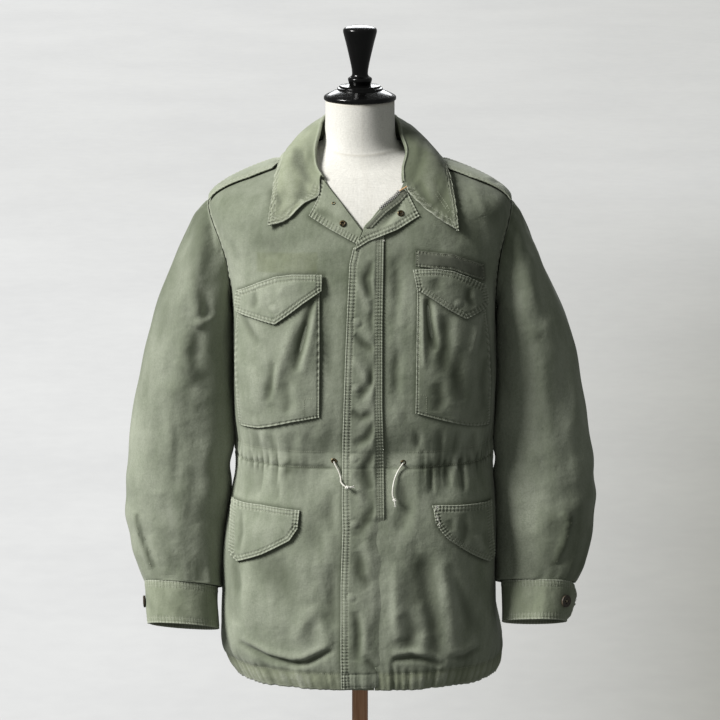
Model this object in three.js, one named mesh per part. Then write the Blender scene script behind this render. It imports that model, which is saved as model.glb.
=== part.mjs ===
// A field jacket worn by a limbless dress form on a pole and a round base.
// Millimetres, +Z up, the jacket's front faces -Y, origin at the centre of the base's underside.
// Every piece of cloth is a thin shell: its outer face is computed from the named tables below.
import * as THREE from "three";

// Cloth walls and the gaps at the seams
const CLOTH = 1.4;
const DOUBLE_CLOTH = 2.0;
const SEAM_GAP = 0.5;
const LAY_GAP = 0.6;

// Colours as base colours
const OLIVE = 0x8a8c6c;
const OLIVE_DARK = 0x77795c;
const IVORY = 0xd9d0ba;
const BLACK_WOOD = 0x0c0b0b;
const RED_WOOD = 0x5a3626;
const CORD_WHITE = 0xd8d2c0;
const BUTTON_BROWN = 0x2b211b;
const DARK_METAL = 0x2c2c2e;
const STEEL = 0x9a9a98;

// The jacket's body, level by level from the hem (0) to the neck seam
const BODY_COLUMNS = ["side_z", "front_z", "back_z", "centre_x", "half_width", "front_depth", "back_depth", "squareness"];
const BODY_ROWS = [
  [710, 713, 706, 9, 192, 126, 122, 2.2],
  [730, 731, 728, 7, 201, 130, 127, 2.2],
  [758, 758, 758, 3, 207, 133, 130, 2.4],
  [818, 818, 818, -1, 201, 135, 132, 2.6],
  [910, 910, 910, 0, 199, 134, 130, 2.8],
  [970, 970, 970, 4, 194, 132, 127, 2.8],
  [1015, 1015, 1015, 6, 188, 129, 122, 2.7],
  [1060, 1060, 1060, 6, 187, 127, 120, 2.7],
  [1110, 1110, 1110, 6.5, 189, 135, 126, 2.9],
  [1165, 1165, 1165, 6.5, 189.5, 138, 129, 3.1],
  [1215, 1215, 1215, 6.5, 189.5, 138, 130, 3.2],
  [1256, 1256, 1256, 6, 189, 137, 130, 3.2],
  [1294, 1296, 1296, 5, 192, 134, 129, 3.1],
  [1332, 1334, 1335, 4, 201, 131, 127, 2.8],
  [1370, 1362, 1372, 2, 212, 127, 124, 2.6],
  [1400, 1386, 1404, 0, 217, 121, 119, 2.5],
  [1417, 1402, 1424, 0, 212, 114, 113, 2.5],
  [1431, 1416, 1442, 0, 196, 107, 105, 2.4],
  [1444, 1430, 1459, 0, 172, 98, 96, 2.3],
  [1456, 1443, 1475, 0, 143, 88, 86, 2.2],
  [1467, 1455, 1490, 0, 111, 78, 75, 2.1],
  [1480, 1465, 1503, 0, 82, 68, 64, 2.0],
];
const NECK_LEVEL = BODY_ROWS.length - 1;
// The back is rounder than the front by this share of its squareness
const BACK_FULLNESS = 0.45;

// The armhole edge: how far it lies before and behind the side line at each level
const ARMHOLE_COLUMNS = ["level", "front_reach", "back_reach"];
const ARMHOLE_ROWS = [
  [11.0, 0, 0],
  [11.25, 22, 22],
  [11.6, 34, 35],
  [12.0, 42, 44],
  [12.6, 49, 52],
  [13.0, 52, 55],
  [13.6, 51, 54],
  [14.0, 47, 50],
  [14.6, 36, 40],
  [15.0, 26, 29],
  [15.3, 14, 16],
  [15.5, 0, 0],
];
const ARMHOLE_FOOT = 11.0;
const ARMHOLE_TOP = 15.5;

// The open neck: where each front's inner edge lies, level by level
const FOLD_COLUMNS = ["level", "right_x", "left_x"];
const FOLD_ROWS = [
  [0.0, 20, 21.4],
  [14.4, 20, 21.4],
  [15.0, 3, 5],
  [16.0, -9, 17],
  [17.0, -21, 30],
  [18.0, -33, 52],
  [19.0, -45, 61],
  [20.0, -54, 67],
  [21.0, -72, 76],
];

// Smooth reading of one named column at a fractional row number
function column(rows, columns, name, at) {
  const c = columns.indexOf(name);
  const last = rows.length - 1;
  const u = Math.min(Math.max(at, 0), last);
  const i = Math.min(Math.floor(u), last - 1);
  const f = u - i;
  const p0 = rows[Math.max(i - 1, 0)][c];
  const p1 = rows[i][c];
  const p2 = rows[i + 1][c];
  const p3 = rows[Math.min(i + 2, last)][c];
  const a = 2 * p1;
  const b = (p2 - p0) * f;
  const q = (2 * p0 - 5 * p1 + 4 * p2 - p3) * f * f;
  const r = (3 * p1 - p0 - 3 * p2 + p3) * f * f * f;
  return (a + b + q + r) / 2;
}

// Straight reading of a column against the table's first column
function lookup(rows, columns, name, key) {
  const c = columns.indexOf(name);
  if (key <= rows[0][0]) return rows[0][c];
  for (let i = 1; i < rows.length; i++) {
    if (key <= rows[i][0]) {
      const f = (key - rows[i - 1][0]) / (rows[i][0] - rows[i - 1][0]);
      return rows[i - 1][c] + (rows[i][c] - rows[i - 1][c]) * f;
    }
  }
  return rows[rows.length - 1][c];
}

const body = (name, level) => column(BODY_ROWS, BODY_COLUMNS, name, level);

// A point of the body without folds: turn 0 is the wearer's left side, a quarter turn is the front
function smoothBody(turn, level) {
  const c = Math.cos(turn);
  const s = Math.sin(turn);
  const fullness = body("squareness", level);
  const n = s > 0 ? fullness : 2 + (fullness - 2) * BACK_FULLNESS;
  const r = 1 / Math.pow(Math.pow(Math.abs(c), n) + Math.pow(Math.abs(s), n), 1 / n);
  const front = s > 0;
  const depth = body(front ? "front_depth" : "back_depth", level);
  const z0 = body("side_z", level);
  const z1 = body(front ? "front_z" : "back_z", level);
  const x = body("centre_x", level) + body("half_width", level) * r * c;
  return [x, -depth * r * s, z0 + (z1 - z0) * s * s];
}

// Largest folds of the body cloth, as a height above the smooth body
const WAIST_Z = 1038;
const GATHER_HEIGHT = 2.4;
const GATHER_WAVES = 13;
const HEM_WAVES = 11;
const HEM_RIPPLE = 1.6;

function bodyFold(turn, z) {
  const waist = Math.exp(-Math.pow((z - WAIST_Z) / 42, 2));
  const hem = Math.exp(-Math.pow((z - 722) / 30, 2));
  const clear = Math.pow(Math.abs(Math.sin(turn)), 0.6);
  const gathers = Math.sin(GATHER_WAVES * turn + 1.4 * Math.sin(z / 34)) - 1;
  const ripple = Math.sin(HEM_WAVES * turn + 0.8 * Math.sin(3 * turn));
  return clear * (GATHER_HEIGHT * waist * gathers + HEM_RIPPLE * hem * ripple);
}

const minus = (a, b) => [a[0] - b[0], a[1] - b[1], a[2] - b[2]];
const along = (a, n, d) => [a[0] + n[0] * d, a[1] + n[1] * d, a[2] + n[2] * d];
const mix = (a, b, f) => a.map((v, i) => v + (b[i] - v) * f);
const cross = (a, b) => [a[1] * b[2] - a[2] * b[1], a[2] * b[0] - a[0] * b[2], a[0] * b[1] - a[1] * b[0]];

function unit(a) {
  const l = Math.hypot(a[0], a[1], a[2]) || 1;
  return [a[0] / l, a[1] / l, a[2] / l];
}

function bodyNormal(turn, level) {
  const e = 0.02;
  const low = Math.max(level - e, 0);
  const high = Math.min(level + e, NECK_LEVEL);
  const a = minus(smoothBody(turn + e, level), smoothBody(turn - e, level));
  const b = minus(smoothBody(turn, high), smoothBody(turn, low));
  return unit(cross(b, a));
}

// A point of the folded body cloth, moved out along its normal
function bodyPoint(turn, level, out = 0) {
  const p = smoothBody(turn, level);
  return along(p, bodyNormal(turn, level), bodyFold(turn, p[2]) + out);
}

// The turn at which a level's front or back reaches a given x or y
function turnAt(level, axis, value, from, to) {
  let a = from;
  let b = to;
  const rising = smoothBody(b, level)[axis] > smoothBody(a, level)[axis];
  for (let i = 0; i < 40; i++) {
    const m = (a + b) / 2;
    if (smoothBody(m, level)[axis] > value === rising) b = m;
    else a = m;
  }
  return (a + b) / 2;
}

// The point of the body cloth with two given coordinates, near a first guess, moved out
function onBody(i, vi, j, vj, out, guess) {
  let [t, l] = guess;
  for (let k = 0; k < 30; k++) {
    const p = smoothBody(t, l);
    const e1 = vi - p[i];
    const e2 = vj - p[j];
    if (Math.abs(e1) + Math.abs(e2) < 1e-4) break;
    const h = 1e-3;
    const pt = smoothBody(t + h, l);
    const up = l + h <= NECK_LEVEL ? h : -h;
    const pl = smoothBody(t, l + up);
    const a = (pt[i] - p[i]) / h;
    const b = (pl[i] - p[i]) / up;
    const c = (pt[j] - p[j]) / h;
    const d = (pl[j] - p[j]) / up;
    const det = a * d - b * c || 1e-9;
    const dt = (e1 * d - b * e2) / det;
    const dl = (a * e2 - e1 * c) / det;
    t += Math.min(Math.max(dt, -0.2), 0.2);
    l = Math.min(Math.max(l + Math.min(Math.max(dl, -1), 1), 0), NECK_LEVEL);
  }
  return bodyPoint(t, l, out);
}

function nearestGuess(i, vi, j, vj, turns) {
  let best = [turns[0], 1];
  let least = Infinity;
  for (let t = turns[0]; t <= turns[1]; t += 0.05) {
    for (let l = 0; l <= NECK_LEVEL; l += 0.25) {
      const p = smoothBody(t, l);
      const d = Math.hypot(p[i] - vi, p[j] - vj);
      if (d < least) {
        least = d;
        best = [t, l];
      }
    }
  }
  return best;
}

const onFront = (x, z, out) => onBody(0, x, 2, z, out, nearestGuess(0, x, 2, z, [0.05, Math.PI - 0.05]));

function onShoulder(x, y, out) {
  const turns = y < 0 ? [0, Math.PI] : [Math.PI, 2 * Math.PI];
  let best = [turns[0], NECK_LEVEL];
  let least = Infinity;
  for (let t = turns[0]; t <= turns[1] + 0.01; t += 0.04) {
    for (let l = 15; l <= NECK_LEVEL; l += 0.2) {
      const p = smoothBody(t, l);
      const d = Math.hypot(p[0] - x, p[1] - y);
      if (d < least) {
        least = d;
        best = [t, l];
      }
    }
  }
  return onBody(0, x, 1, y, out, best);
}

// A closed shell from a grid of outer points: rows by columns, wall measured inwards
function shellGeometry(grid, wall, flip = false, wrap = false) {
  const rows = grid.length;
  const cols = grid[0].length;
  const normals = grid.map((row, r) =>
    row.map((p, c) => {
      const left = wrap ? row[(c + cols - 1) % cols] : row[Math.max(c - 1, 0)];
      const right = wrap ? row[(c + 1) % cols] : row[Math.min(c + 1, cols - 1)];
      const low = grid[Math.max(r - 1, 0)][c];
      const high = grid[Math.min(r + 1, rows - 1)][c];
      const n = unit(cross(minus(right, left), minus(high, low)));
      return flip ? [-n[0], -n[1], -n[2]] : n;
    })
  );
  const points = [];
  grid.forEach((row) => row.forEach((p) => points.push(p)));
  grid.forEach((row, r) => row.forEach((p, c) => points.push(along(p, normals[r][c], -wall))));
  const inner = rows * cols;
  const faces = [];
  const quad = (a, b, c, d) => {
    if (flip) faces.push([a, c, b], [a, d, c]);
    else faces.push([a, b, c], [a, c, d]);
  };
  const at = (r, c) => r * cols + (c % cols);
  const spans = wrap ? cols : cols - 1;
  for (let r = 0; r < rows - 1; r++) {
    for (let c = 0; c < spans; c++) {
      quad(at(r, c), at(r, c + 1), at(r + 1, c + 1), at(r + 1, c));
      quad(inner + at(r, c), inner + at(r + 1, c), inner + at(r + 1, c + 1), inner + at(r, c + 1));
    }
  }
  for (let c = 0; c < spans; c++) {
    const top = rows - 1;
    quad(at(0, c), inner + at(0, c), inner + at(0, c + 1), at(0, c + 1));
    quad(at(top, c), at(top, c + 1), inner + at(top, c + 1), inner + at(top, c));
  }
  if (!wrap) {
    for (let r = 0; r < rows - 1; r++) {
      const last = cols - 1;
      quad(at(r, 0), at(r + 1, 0), inner + at(r + 1, 0), inner + at(r, 0));
      quad(at(r, last), inner + at(r, last), inner + at(r + 1, last), at(r + 1, last));
    }
  }
  return meshGeometry(points, faces);
}

function meshGeometry(points, faces) {
  const geometry = new THREE.BufferGeometry();
  geometry.setAttribute("position", new THREE.Float32BufferAttribute(points.flat(), 3));
  geometry.setIndex(faces.flat());
  geometry.computeVertexNormals();
  return geometry;
}

// A solid from rings of points, closed by a fan at each end
function ringSolid(rings, flip = false) {
  const cols = rings[0].length;
  const points = rings.flat();
  const faces = [];
  const tri = (a, b, c) => faces.push(flip ? [a, c, b] : [a, b, c]);
  for (let r = 0; r < rings.length - 1; r++) {
    for (let c = 0; c < cols; c++) {
      const a = r * cols + c;
      const b = r * cols + ((c + 1) % cols);
      tri(a, b, b + cols);
      tri(a, b + cols, a + cols);
    }
  }
  const middle = (ring) => ring[0].map((_, k) => ring.reduce((sum, p) => sum + p[k], 0) / cols);
  const foot = points.length;
  points.push(middle(rings[0]), middle(rings[rings.length - 1]));
  const top = (rings.length - 1) * cols;
  for (let c = 0; c < cols; c++) {
    const d = (c + 1) % cols;
    tri(foot, d, c);
    tri(foot + 1, top + c, top + d);
  }
  return meshGeometry(points, faces);
}

const part = new THREE.Group();

function add(name, geometry, colour, roughness = 0.9, metalness = 0) {
  const material = new THREE.MeshStandardMaterial({ color: colour, roughness, metalness });
  const mesh = new THREE.Mesh(geometry, material);
  mesh.name = name;
  part.add(mesh);
  return mesh;
}

// Rows at which the body cloth is cut into facets
const PANEL_LEVELS = [0, 0.6, 1.4, 2.4, 3.4, 4.4, 5.2, 5.8, 6.4, 7, 7.6, 8.4, 9.4, 10.3, 11];
const YOKE_LEVELS = [11.25, 11.6, 12, 12.6, 13, 13.6, 14.4, 15, 15.3, 15.5, 16, 17, 18, 19, 20, 21];
const LEVELS = [...PANEL_LEVELS, ...YOKE_LEVELS];
const FRONT_COLUMNS = 12;
const BACK_COLUMNS = 18;

function reach(name, level) {
  const inside = level > ARMHOLE_FOOT && level < ARMHOLE_TOP;
  const value = inside ? lookup(ARMHOLE_ROWS, ARMHOLE_COLUMNS, name, level) : 0;
  return Math.max(value, SEAM_GAP / 2);
}

// The turn of each side or armhole edge: wearer's left is turn 0, wearer's right is half a turn
function edgeTurn(level, left, front) {
  const y = reach(front ? "front_reach" : "back_reach", level);
  const quarter = Math.PI / 2;
  if (front) return left ? turnAt(level, 1, -y, 0, quarter) : turnAt(level, 1, -y, Math.PI, quarter);
  return left ? turnAt(level, 1, y, 2 * Math.PI, 3 * quarter) : turnAt(level, 1, y, Math.PI, 3 * quarter);
}

function frontGrid(left) {
  return LEVELS.map((level) => {
    const x = lookup(FOLD_ROWS, FOLD_COLUMNS, left ? "left_x" : "right_x", level);
    const inner = turnAt(level, 0, x, 0, Math.PI);
    const outer = edgeTurn(level, left, true);
    const row = [];
    for (let c = 0; c <= FRONT_COLUMNS; c++) {
      row.push(bodyPoint(inner + ((outer - inner) * c) / FRONT_COLUMNS, level));
    }
    return row;
  });
}

const backGrid = LEVELS.map((level) => {
  const from = edgeTurn(level, false, false);
  const to = edgeTurn(level, true, false);
  const row = [];
  for (let c = 0; c <= BACK_COLUMNS; c++) row.push(bodyPoint(from + ((to - from) * c) / BACK_COLUMNS, level));
  return row;
});

add("front_right", shellGeometry(frontGrid(false), CLOTH, true), OLIVE);
add("front_left", shellGeometry(frontGrid(true), CLOTH, false), OLIVE);
add("back", shellGeometry(backGrid, CLOTH, true), OLIVE);

// Sleeves: an outer and an inner line seen from the front, with the middle's y and the half depth
const SLEEVE_COLUMNS = ["outer_x", "outer_z", "inner_x", "inner_z", "middle_y", "half_depth", "tilt"];
const SLEEVE_RIGHT = [
  [-217, 1414, -183, 1256, 1, 53, 0],
  [-232, 1396, -186.5, 1247, 0, 58, 0],
  [-246, 1370, -187.5, 1238, -2, 62, 0],
  [-265, 1329, -187.5, 1222, -4, 65, 0],
  [-284, 1280, -187.5, 1200, -6, 65, 0.02],
  [-301, 1223, -187.5, 1165, -8, 62, 0.04],
  [-315, 1168, -187.5, 1125, -10, 58, 0.06],
  [-325, 1119, -188.5, 1085, -11, 55, 0.06],
  [-332, 1070, -190, 1045, -12, 54, 0.05],
  [-337, 1020, -194, 1003, -13, 54, 0.05],
  [-340, 975, -200, 965, -15, 53, 0.08],
  [-338, 935, -205, 930, -17, 51, 0.14],
  [-331, 895, -206, 893, -20, 48, 0.24],
  [-322, 868, -208, 864, -24, 43, 0.32],
  [-313, 850, -207, 841, -27, 40, 0.38],
];
const SLEEVE_LEFT = [
  [217, 1414, 195, 1256, 1, 53, 0],
  [232, 1390, 198.5, 1247, 0, 58, 0],
  [245, 1360, 200, 1238, -2, 62, 0],
  [263, 1318, 200, 1222, -4, 65, 0],
  [281, 1274, 200, 1200, -6, 65, 0.02],
  [299, 1230, 200, 1165, -8, 62, 0.04],
  [311, 1188, 200, 1125, -10, 58, 0.06],
  [320, 1138, 200, 1085, -11, 55, 0.06],
  [328, 1088, 200, 1045, -12, 54, 0.05],
  [336, 1042, 203, 1003, -13, 54, 0.05],
  [341, 998, 206, 965, -15, 53, 0.08],
  [341, 960, 207, 930, -17, 51, 0.14],
  [337, 916, 207, 893, -20, 48, 0.24],
  [328, 876, 206, 869, -24, 43, 0.32],
  [314, 848, 206, 850, -27, 40, 0.38],
];
const SLEEVE_STEPS = [0, 0.5, 1, 1.6, 2.4, 3.3, 4.2, 5.2, 6.4, 7.6, 8.4, 9, 9.6, 10.2, 10.8, 11.4, 12, 12.7, 13.4, 14];
const SLEEVE_SPOKES = 20;
const HEAD_BLEND = 2.5;
const HEAD_STEP = 0.8;
const FOOT_STEP = 2.6;

function sleeveOval(rows, at, spoke) {
  const v = (name) => column(rows, SLEEVE_COLUMNS, name, at);
  const c = Math.cos(spoke);
  const s = Math.sin(spoke);
  const y = -v("half_depth") * s;
  const x = (v("outer_x") + v("inner_x")) / 2 + ((v("outer_x") - v("inner_x")) / 2) * c;
  const z = (v("outer_z") + v("inner_z")) / 2 + ((v("outer_z") - v("inner_z")) / 2) * c;
  return [x, v("middle_y") + y, z - v("tilt") * y];
}

// The armhole edge point that faces a spoke of the sleeve
function armholePoint(left, spoke) {
  const foot = body("side_z", ARMHOLE_FOOT);
  const head = body("side_z", ARMHOLE_TOP);
  const z = foot + ((head - foot) * (1 + Math.cos(spoke))) / 2;
  let a = ARMHOLE_FOOT;
  let b = ARMHOLE_TOP;
  for (let i = 0; i < 30; i++) {
    const m = (a + b) / 2;
    if (body("side_z", m) > z) b = m;
    else a = m;
  }
  const p = smoothBody(edgeTurn(a, left, Math.sin(spoke) >= 0), a);
  const low = (1 - Math.cos(spoke)) / 2;
  const step = HEAD_STEP + (FOOT_STEP - HEAD_STEP) * low * low;
  return [p[0] + (left ? step : -step), p[1], p[2]];
}

// Folds of the sleeves: bulges and hollows round the elbow
function sleeveFold(at, spoke, left) {
  const elbow = Math.exp(-Math.pow((at - 10.2) / 1.9, 2));
  const head = Math.exp(-Math.pow((at - 3.2) / 1.4, 2));
  const bend = Math.sin(at * 4.4 + (left ? 0.6 : 0) + 1.6 * Math.cos(spoke));
  const pull = Math.sin(2 * spoke + at * 0.9);
  const inward = 0.5 + 0.5 * Math.cos(spoke - Math.PI);
  return 3.2 * elbow * bend * (1 - inward) - 2.0 * elbow * inward + 1.6 * head * pull;
}

function sleevePoint(rows, left, at, spoke) {
  const p = sleeveOval(rows, at, spoke);
  const f = Math.max(1 - at / HEAD_BLEND, 0);
  const keep = f * f * (3 - 2 * f);
  const shift = minus(armholePoint(left, spoke), sleeveOval(rows, 0, spoke));
  const e = 0.03;
  const a = minus(sleeveOval(rows, at, spoke + e), sleeveOval(rows, at, spoke - e));
  const b = minus(sleeveOval(rows, Math.min(at + e, 14), spoke), sleeveOval(rows, Math.max(at - e, 0), spoke));
  const n = unit(left ? cross(b, a) : cross(a, b));
  return along(along(p, shift, keep), n, sleeveFold(at, spoke, left) * (1 - keep));
}

function sleeveGrid(rows, left) {
  return SLEEVE_STEPS.map((at) => {
    const ring = [];
    for (let c = 0; c < SLEEVE_SPOKES; c++) ring.push(sleevePoint(rows, left, at, (2 * Math.PI * c) / SLEEVE_SPOKES));
    return ring;
  });
}

add("sleeve_right", shellGeometry(sleeveGrid(SLEEVE_RIGHT, false), CLOTH, false, true), OLIVE);
add("sleeve_left", shellGeometry(sleeveGrid(SLEEVE_LEFT, true), CLOTH, true, true), OLIVE);

// Flat pieces laid on the body: each is four edges, drawn from left to right or from foot to head
function polyline(points, count) {
  const lengths = [0];
  for (let i = 1; i < points.length; i++) {
    lengths.push(lengths[i - 1] + Math.hypot(points[i][0] - points[i - 1][0], points[i][1] - points[i - 1][1]));
  }
  const made = [];
  for (let k = 0; k <= count; k++) {
    const d = (lengths[lengths.length - 1] * k) / count;
    let i = 1;
    while (i < points.length - 1 && lengths[i] < d) i++;
    const f = (d - lengths[i - 1]) / (lengths[i] - lengths[i - 1]);
    made.push(mix(points[i - 1], points[i], f));
  }
  return made;
}

function fourSided(edges, across, up) {
  const foot = polyline(edges.foot, across);
  const head = polyline(edges.head, across);
  const left = polyline(edges.left, up);
  const right = polyline(edges.right, up);
  const grid = [];
  for (let r = 0; r <= up; r++) {
    const v = r / up;
    const row = [];
    for (let c = 0; c <= across; c++) {
      const u = c / across;
      const point = [0, 1].map((k) => {
        const rule = (1 - v) * foot[c][k] + v * head[c][k] + (1 - u) * left[r][k] + u * right[r][k];
        const low = (1 - v) * ((1 - u) * foot[0][k] + u * foot[across][k]);
        const high = v * ((1 - u) * head[0][k] + u * head[across][k]);
        return rule - low - high;
      });
      row.push(point);
    }
    grid.push(row);
  }
  return grid;
}

function laidOnFront(name, edges, across, up, wall, out, colour) {
  const height = typeof out === "function" ? out : () => out;
  const grid = fourSided(edges, across, up).map((row, r) =>
    row.map(([x, z], c) => onFront(x, z, height(c / across, r / up)))
  );
  add(name, shellGeometry(grid, wall), colour);
  return grid;
}

const FIRST_LAYER = LAY_GAP + 0.4 + CLOTH;
const FLAP_LAYER = FIRST_LAYER + LAY_GAP + DOUBLE_CLOTH + 2.4;

// Chest pockets, as edges in x and z
const POCKET_RIGHT = {
  foot: [[-171, 1095], [-144, 1098], [-96, 1112], [-58, 1120]],
  head: [[-169, 1276], [-118, 1305], [-57, 1312]],
  left: [[-171, 1095], [-176, 1170], [-175, 1230], [-169, 1276]],
  right: [[-58, 1120], [-57, 1217], [-57, 1312]],
};
const POCKET_LEFT = {
  foot: [[79, 1126], [113, 1115], [155, 1102], [184, 1096]],
  head: [[81, 1312], [130, 1308], [174, 1283]],
  left: [[79, 1126], [80, 1217], [81, 1312]],
  right: [[184, 1096], [185, 1165], [181, 1223], [174, 1283]],
};
const POCKET_FLAP_RIGHT = {
  foot: [[-172, 1264], [-147, 1259], [-118, 1253], [-101, 1266], [-79, 1284], [-54, 1302]],
  head: [[-172, 1293], [-142, 1309], [-118, 1319], [-95, 1323], [-53, 1324]],
  left: [[-172, 1264], [-172, 1293]],
  right: [[-54, 1302], [-53, 1324]],
};
const POCKET_FLAP_LEFT = {
  foot: [[80, 1304], [101, 1290], [122, 1275], [147, 1259], [166, 1267], [179, 1274]],
  head: [[75, 1331], [107, 1331], [131, 1326], [155, 1315], [176, 1302]],
  left: [[80, 1304], [75, 1331]],
  right: [[179, 1274], [176, 1302]],
};

// A pocket bag stands away from the chest in its middle
const pocketSwell = (u, v) => FIRST_LAYER + 0.9 + 2.5 * Math.sin(Math.PI * u) * Math.sin(Math.PI * v);
const LEFT_POCKET_SEAT = 0.6;
const flapLift = (u, v) => FLAP_LAYER - 2.2 * v * v * v + 1.5 * Math.sin(Math.PI * u) * (1 - v);
laidOnFront("chest_pocket_right", POCKET_RIGHT, 8, 9, CLOTH, pocketSwell, OLIVE);
laidOnFront("chest_pocket_left", POCKET_LEFT, 8, 9, CLOTH, (u, v) => pocketSwell(u, v) - LEFT_POCKET_SEAT, OLIVE);
laidOnFront("chest_flap_right", POCKET_FLAP_RIGHT, 10, 3, DOUBLE_CLOTH, (u, v) => flapLift(u, v) - 0.3, OLIVE);
laidOnFront("chest_flap_left", POCKET_FLAP_LEFT, 10, 3, DOUBLE_CLOTH, (u, v) => flapLift(u, v) - LEFT_POCKET_SEAT - 1.0, OLIVE);

// Flaps of the hip pockets, whose bags hang inside
const HIP_FLAP_RIGHT = {
  foot: [[-187, 904], [-176, 897], [-140, 914], [-100, 938], [-89, 955]],
  head: [[-184, 981], [-140, 984], [-86, 981]],
  left: [[-187, 904], [-184, 981]],
  right: [[-89, 955], [-86, 981]],
};
const HIP_FLAP_LEFT = {
  foot: [[108, 963], [117, 949], [126, 938], [155, 915], [184, 894], [191, 898]],
  head: [[104, 988], [150, 984], [188, 981]],
  left: [[108, 963], [104, 988]],
  right: [[191, 898], [188, 981]],
};
const hipLift = (u, v) => LAY_GAP + 0.5 + DOUBLE_CLOTH + 1.6 * (1 - v);
laidOnFront("hip_flap_right", HIP_FLAP_RIGHT, 9, 5, DOUBLE_CLOTH, hipLift, OLIVE);
laidOnFront("hip_flap_left", HIP_FLAP_LEFT, 9, 5, DOUBLE_CLOTH, hipLift, OLIVE);

// The bare tape over the wearer's left pocket
const TAPE = {
  foot: [[79, 1336], [130, 1329.5], [176, 1309]],
  head: [[79, 1357], [130, 1350], [174, 1331]],
  left: [[79, 1336], [79, 1357]],
  right: [[176, 1309], [174, 1331]],
};
laidOnFront("name_tape", TAPE, 7, 1, 1.0, LAY_GAP + 1.0, OLIVE_DARK);

// The flap of double cloth that covers the front opening
const FLY = {
  foot: [[-26, 717], [40, 719]],
  head: [[-9, 1352], [11, 1363], [33, 1374]],
  left: [[-26, 717], [-27, 761], [-27, 872], [-24, 953], [-25, 998], [-24, 1085], [-20, 1209], [-17, 1280], [-9, 1352]],
  right: [[40, 719], [40, 820], [38, 910], [34, 975], [33, 1070], [31, 1137], [31, 1257], [33, 1374]],
};
const FLY_LAYER = LAY_GAP + 0.8 + DOUBLE_CLOTH;
laidOnFront("fly_flap", FLY, 3, 27, DOUBLE_CLOTH, FLY_LAYER, OLIVE);

// Lapels: the tops of the fronts, turned open
const LAPEL_RIGHT = {
  foot: [[-4, 1367], [3, 1384]],
  head: [[-71, 1404], [-59, 1426], [-53, 1451]],
  left: [[-4, 1367], [-42, 1387], [-71, 1404]],
  right: [[3, 1384], [-25, 1419], [-53, 1451]],
};
const LAPEL_LEFT = {
  foot: [[5, 1385], [-8, 1359]],
  head: [[62, 1441], [69, 1429], [83, 1404]],
  left: [[5, 1385], [30, 1412], [52, 1429], [62, 1441]],
  right: [[-8, 1359], [12, 1371], [52, 1386], [83, 1404]],
};
const leftLapelLift = (u, v) => FIRST_LAYER + 3.0 * Math.pow(1 - v, 3);
laidOnFront("lapel_right", LAPEL_RIGHT, 4, 7, CLOTH, FIRST_LAYER, OLIVE);
laidOnFront("lapel_left", LAPEL_LEFT, 4, 7, CLOTH, leftLapelLift, OLIVE);

// The zip's tape on the turned edge of the wearer's left front
const ZIP_TAPE = {
  foot: [[8, 1388], [16, 1388]],
  head: [[60, 1438], [66, 1431]],
  left: [[8, 1388], [31, 1412], [52, 1428], [60, 1438]],
  right: [[16, 1388], [36, 1407], [57, 1422], [66, 1431]],
};
laidOnFront("zip_tape", ZIP_TAPE, 1, 7, 1.0, (u, v) => leftLapelLift(u, v) + LAY_GAP + 1.0, OLIVE_DARK);

// Shoulder straps, as edges in x and y
function laidOnShoulder(name, side, edges, across, up, wall, out) {
  const grid = fourSided(edges, across, up).map((row) => row.map(([x, y]) => onShoulder(side * x, y, out)));
  add(name, shellGeometry(grid, wall, side < 0), OLIVE);
}
const STRAP = {
  foot: [[112, -16], [124, -34], [157, -36], [213, -25]],
  head: [[112, 4], [124, 20], [157, 22], [213, 23]],
  left: [[112, -16], [108, -6], [112, 4]],
  right: [[213, -25], [213, 23]],
};
const STRAP_LAYER = LAY_GAP + 2.0 + DOUBLE_CLOTH;
laidOnShoulder("shoulder_strap_right", -1, STRAP, 8, 3, DOUBLE_CLOTH, STRAP_LAYER);
laidOnShoulder("shoulder_strap_left", 1, STRAP, 8, 3, DOUBLE_CLOTH, STRAP_LAYER);

// Collar: a stand from the neck seam up to the roll, then a leaf turned down to the outer edge
const COLLAR_STATIONS = 7;
const COLLAR_COLUMNS = ["roll_x", "roll_y", "roll_z", "edge_x", "edge_y", "lift"];
const COLLAR_RIGHT = [
  [-54, -81, 1457, -128, -106, 3.2],
  [-62, -62, 1469, -123, -88, 3.6],
  [-64, -42, 1490, -120, -62, 5.6],
  [-59, -18, 1511, -115, -31, 7.0],
  [-56, 8, 1523, -107, 6, 7.4],
  [-48, 35, 1528, -92, 48, 6.2],
  [-28, 55, 1531, -52, 82, 6.0],
  [0, 62, 1532, 0, 94, 6.0],
];
const COLLAR_LEFT = [
  [62, -80, 1449, 137, -106, 4.0],
  [62, -62, 1466, 132, -86, 4.6],
  [67, -42, 1487, 127, -60, 5.8],
  [60, -18, 1507, 120, -31, 7.4],
  [56, 8, 1522, 111, 6, 7.4],
  [48, 35, 1528, 94, 48, 6.2],
  [28, 55, 1531, 53, 82, 6.0],
  [0, 62, 1532, 0, 94, 6.0],
];
const COLLAR_SEAM_COLUMNS = ["level", "turn"];
const COLLAR_SEAM = [
  [20.0, 0.98],
  [20.4, 0.83],
  [20.8, 0.62],
  [21.0, 0.36],
  [21.0, 0.0],
  [21.0, -0.52],
  [21.0, -1.02],
  [21.0, -1.5708],
];
const COLLAR_STEPS = [0, 0.5, 1, 1.5, 2, 3, 4, 5, 6, 7];
const COLLAR_ROLL = 3.2;
const COLLAR_BULGE = 5;
// The lower front edge of the leaf, in x and z, from the lapel's notch to the tip
const COLLAR_NOTCH_RIGHT = [[-56.5, 1437], [-60, 1428.6], [-78, 1420], [-103, 1398], [-128, 1388.5]];
const COLLAR_NOTCH_LEFT = [[66, 1439], [70.5, 1431.6], [88, 1417], [111, 1399.5], [137, 1381.5]];

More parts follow.
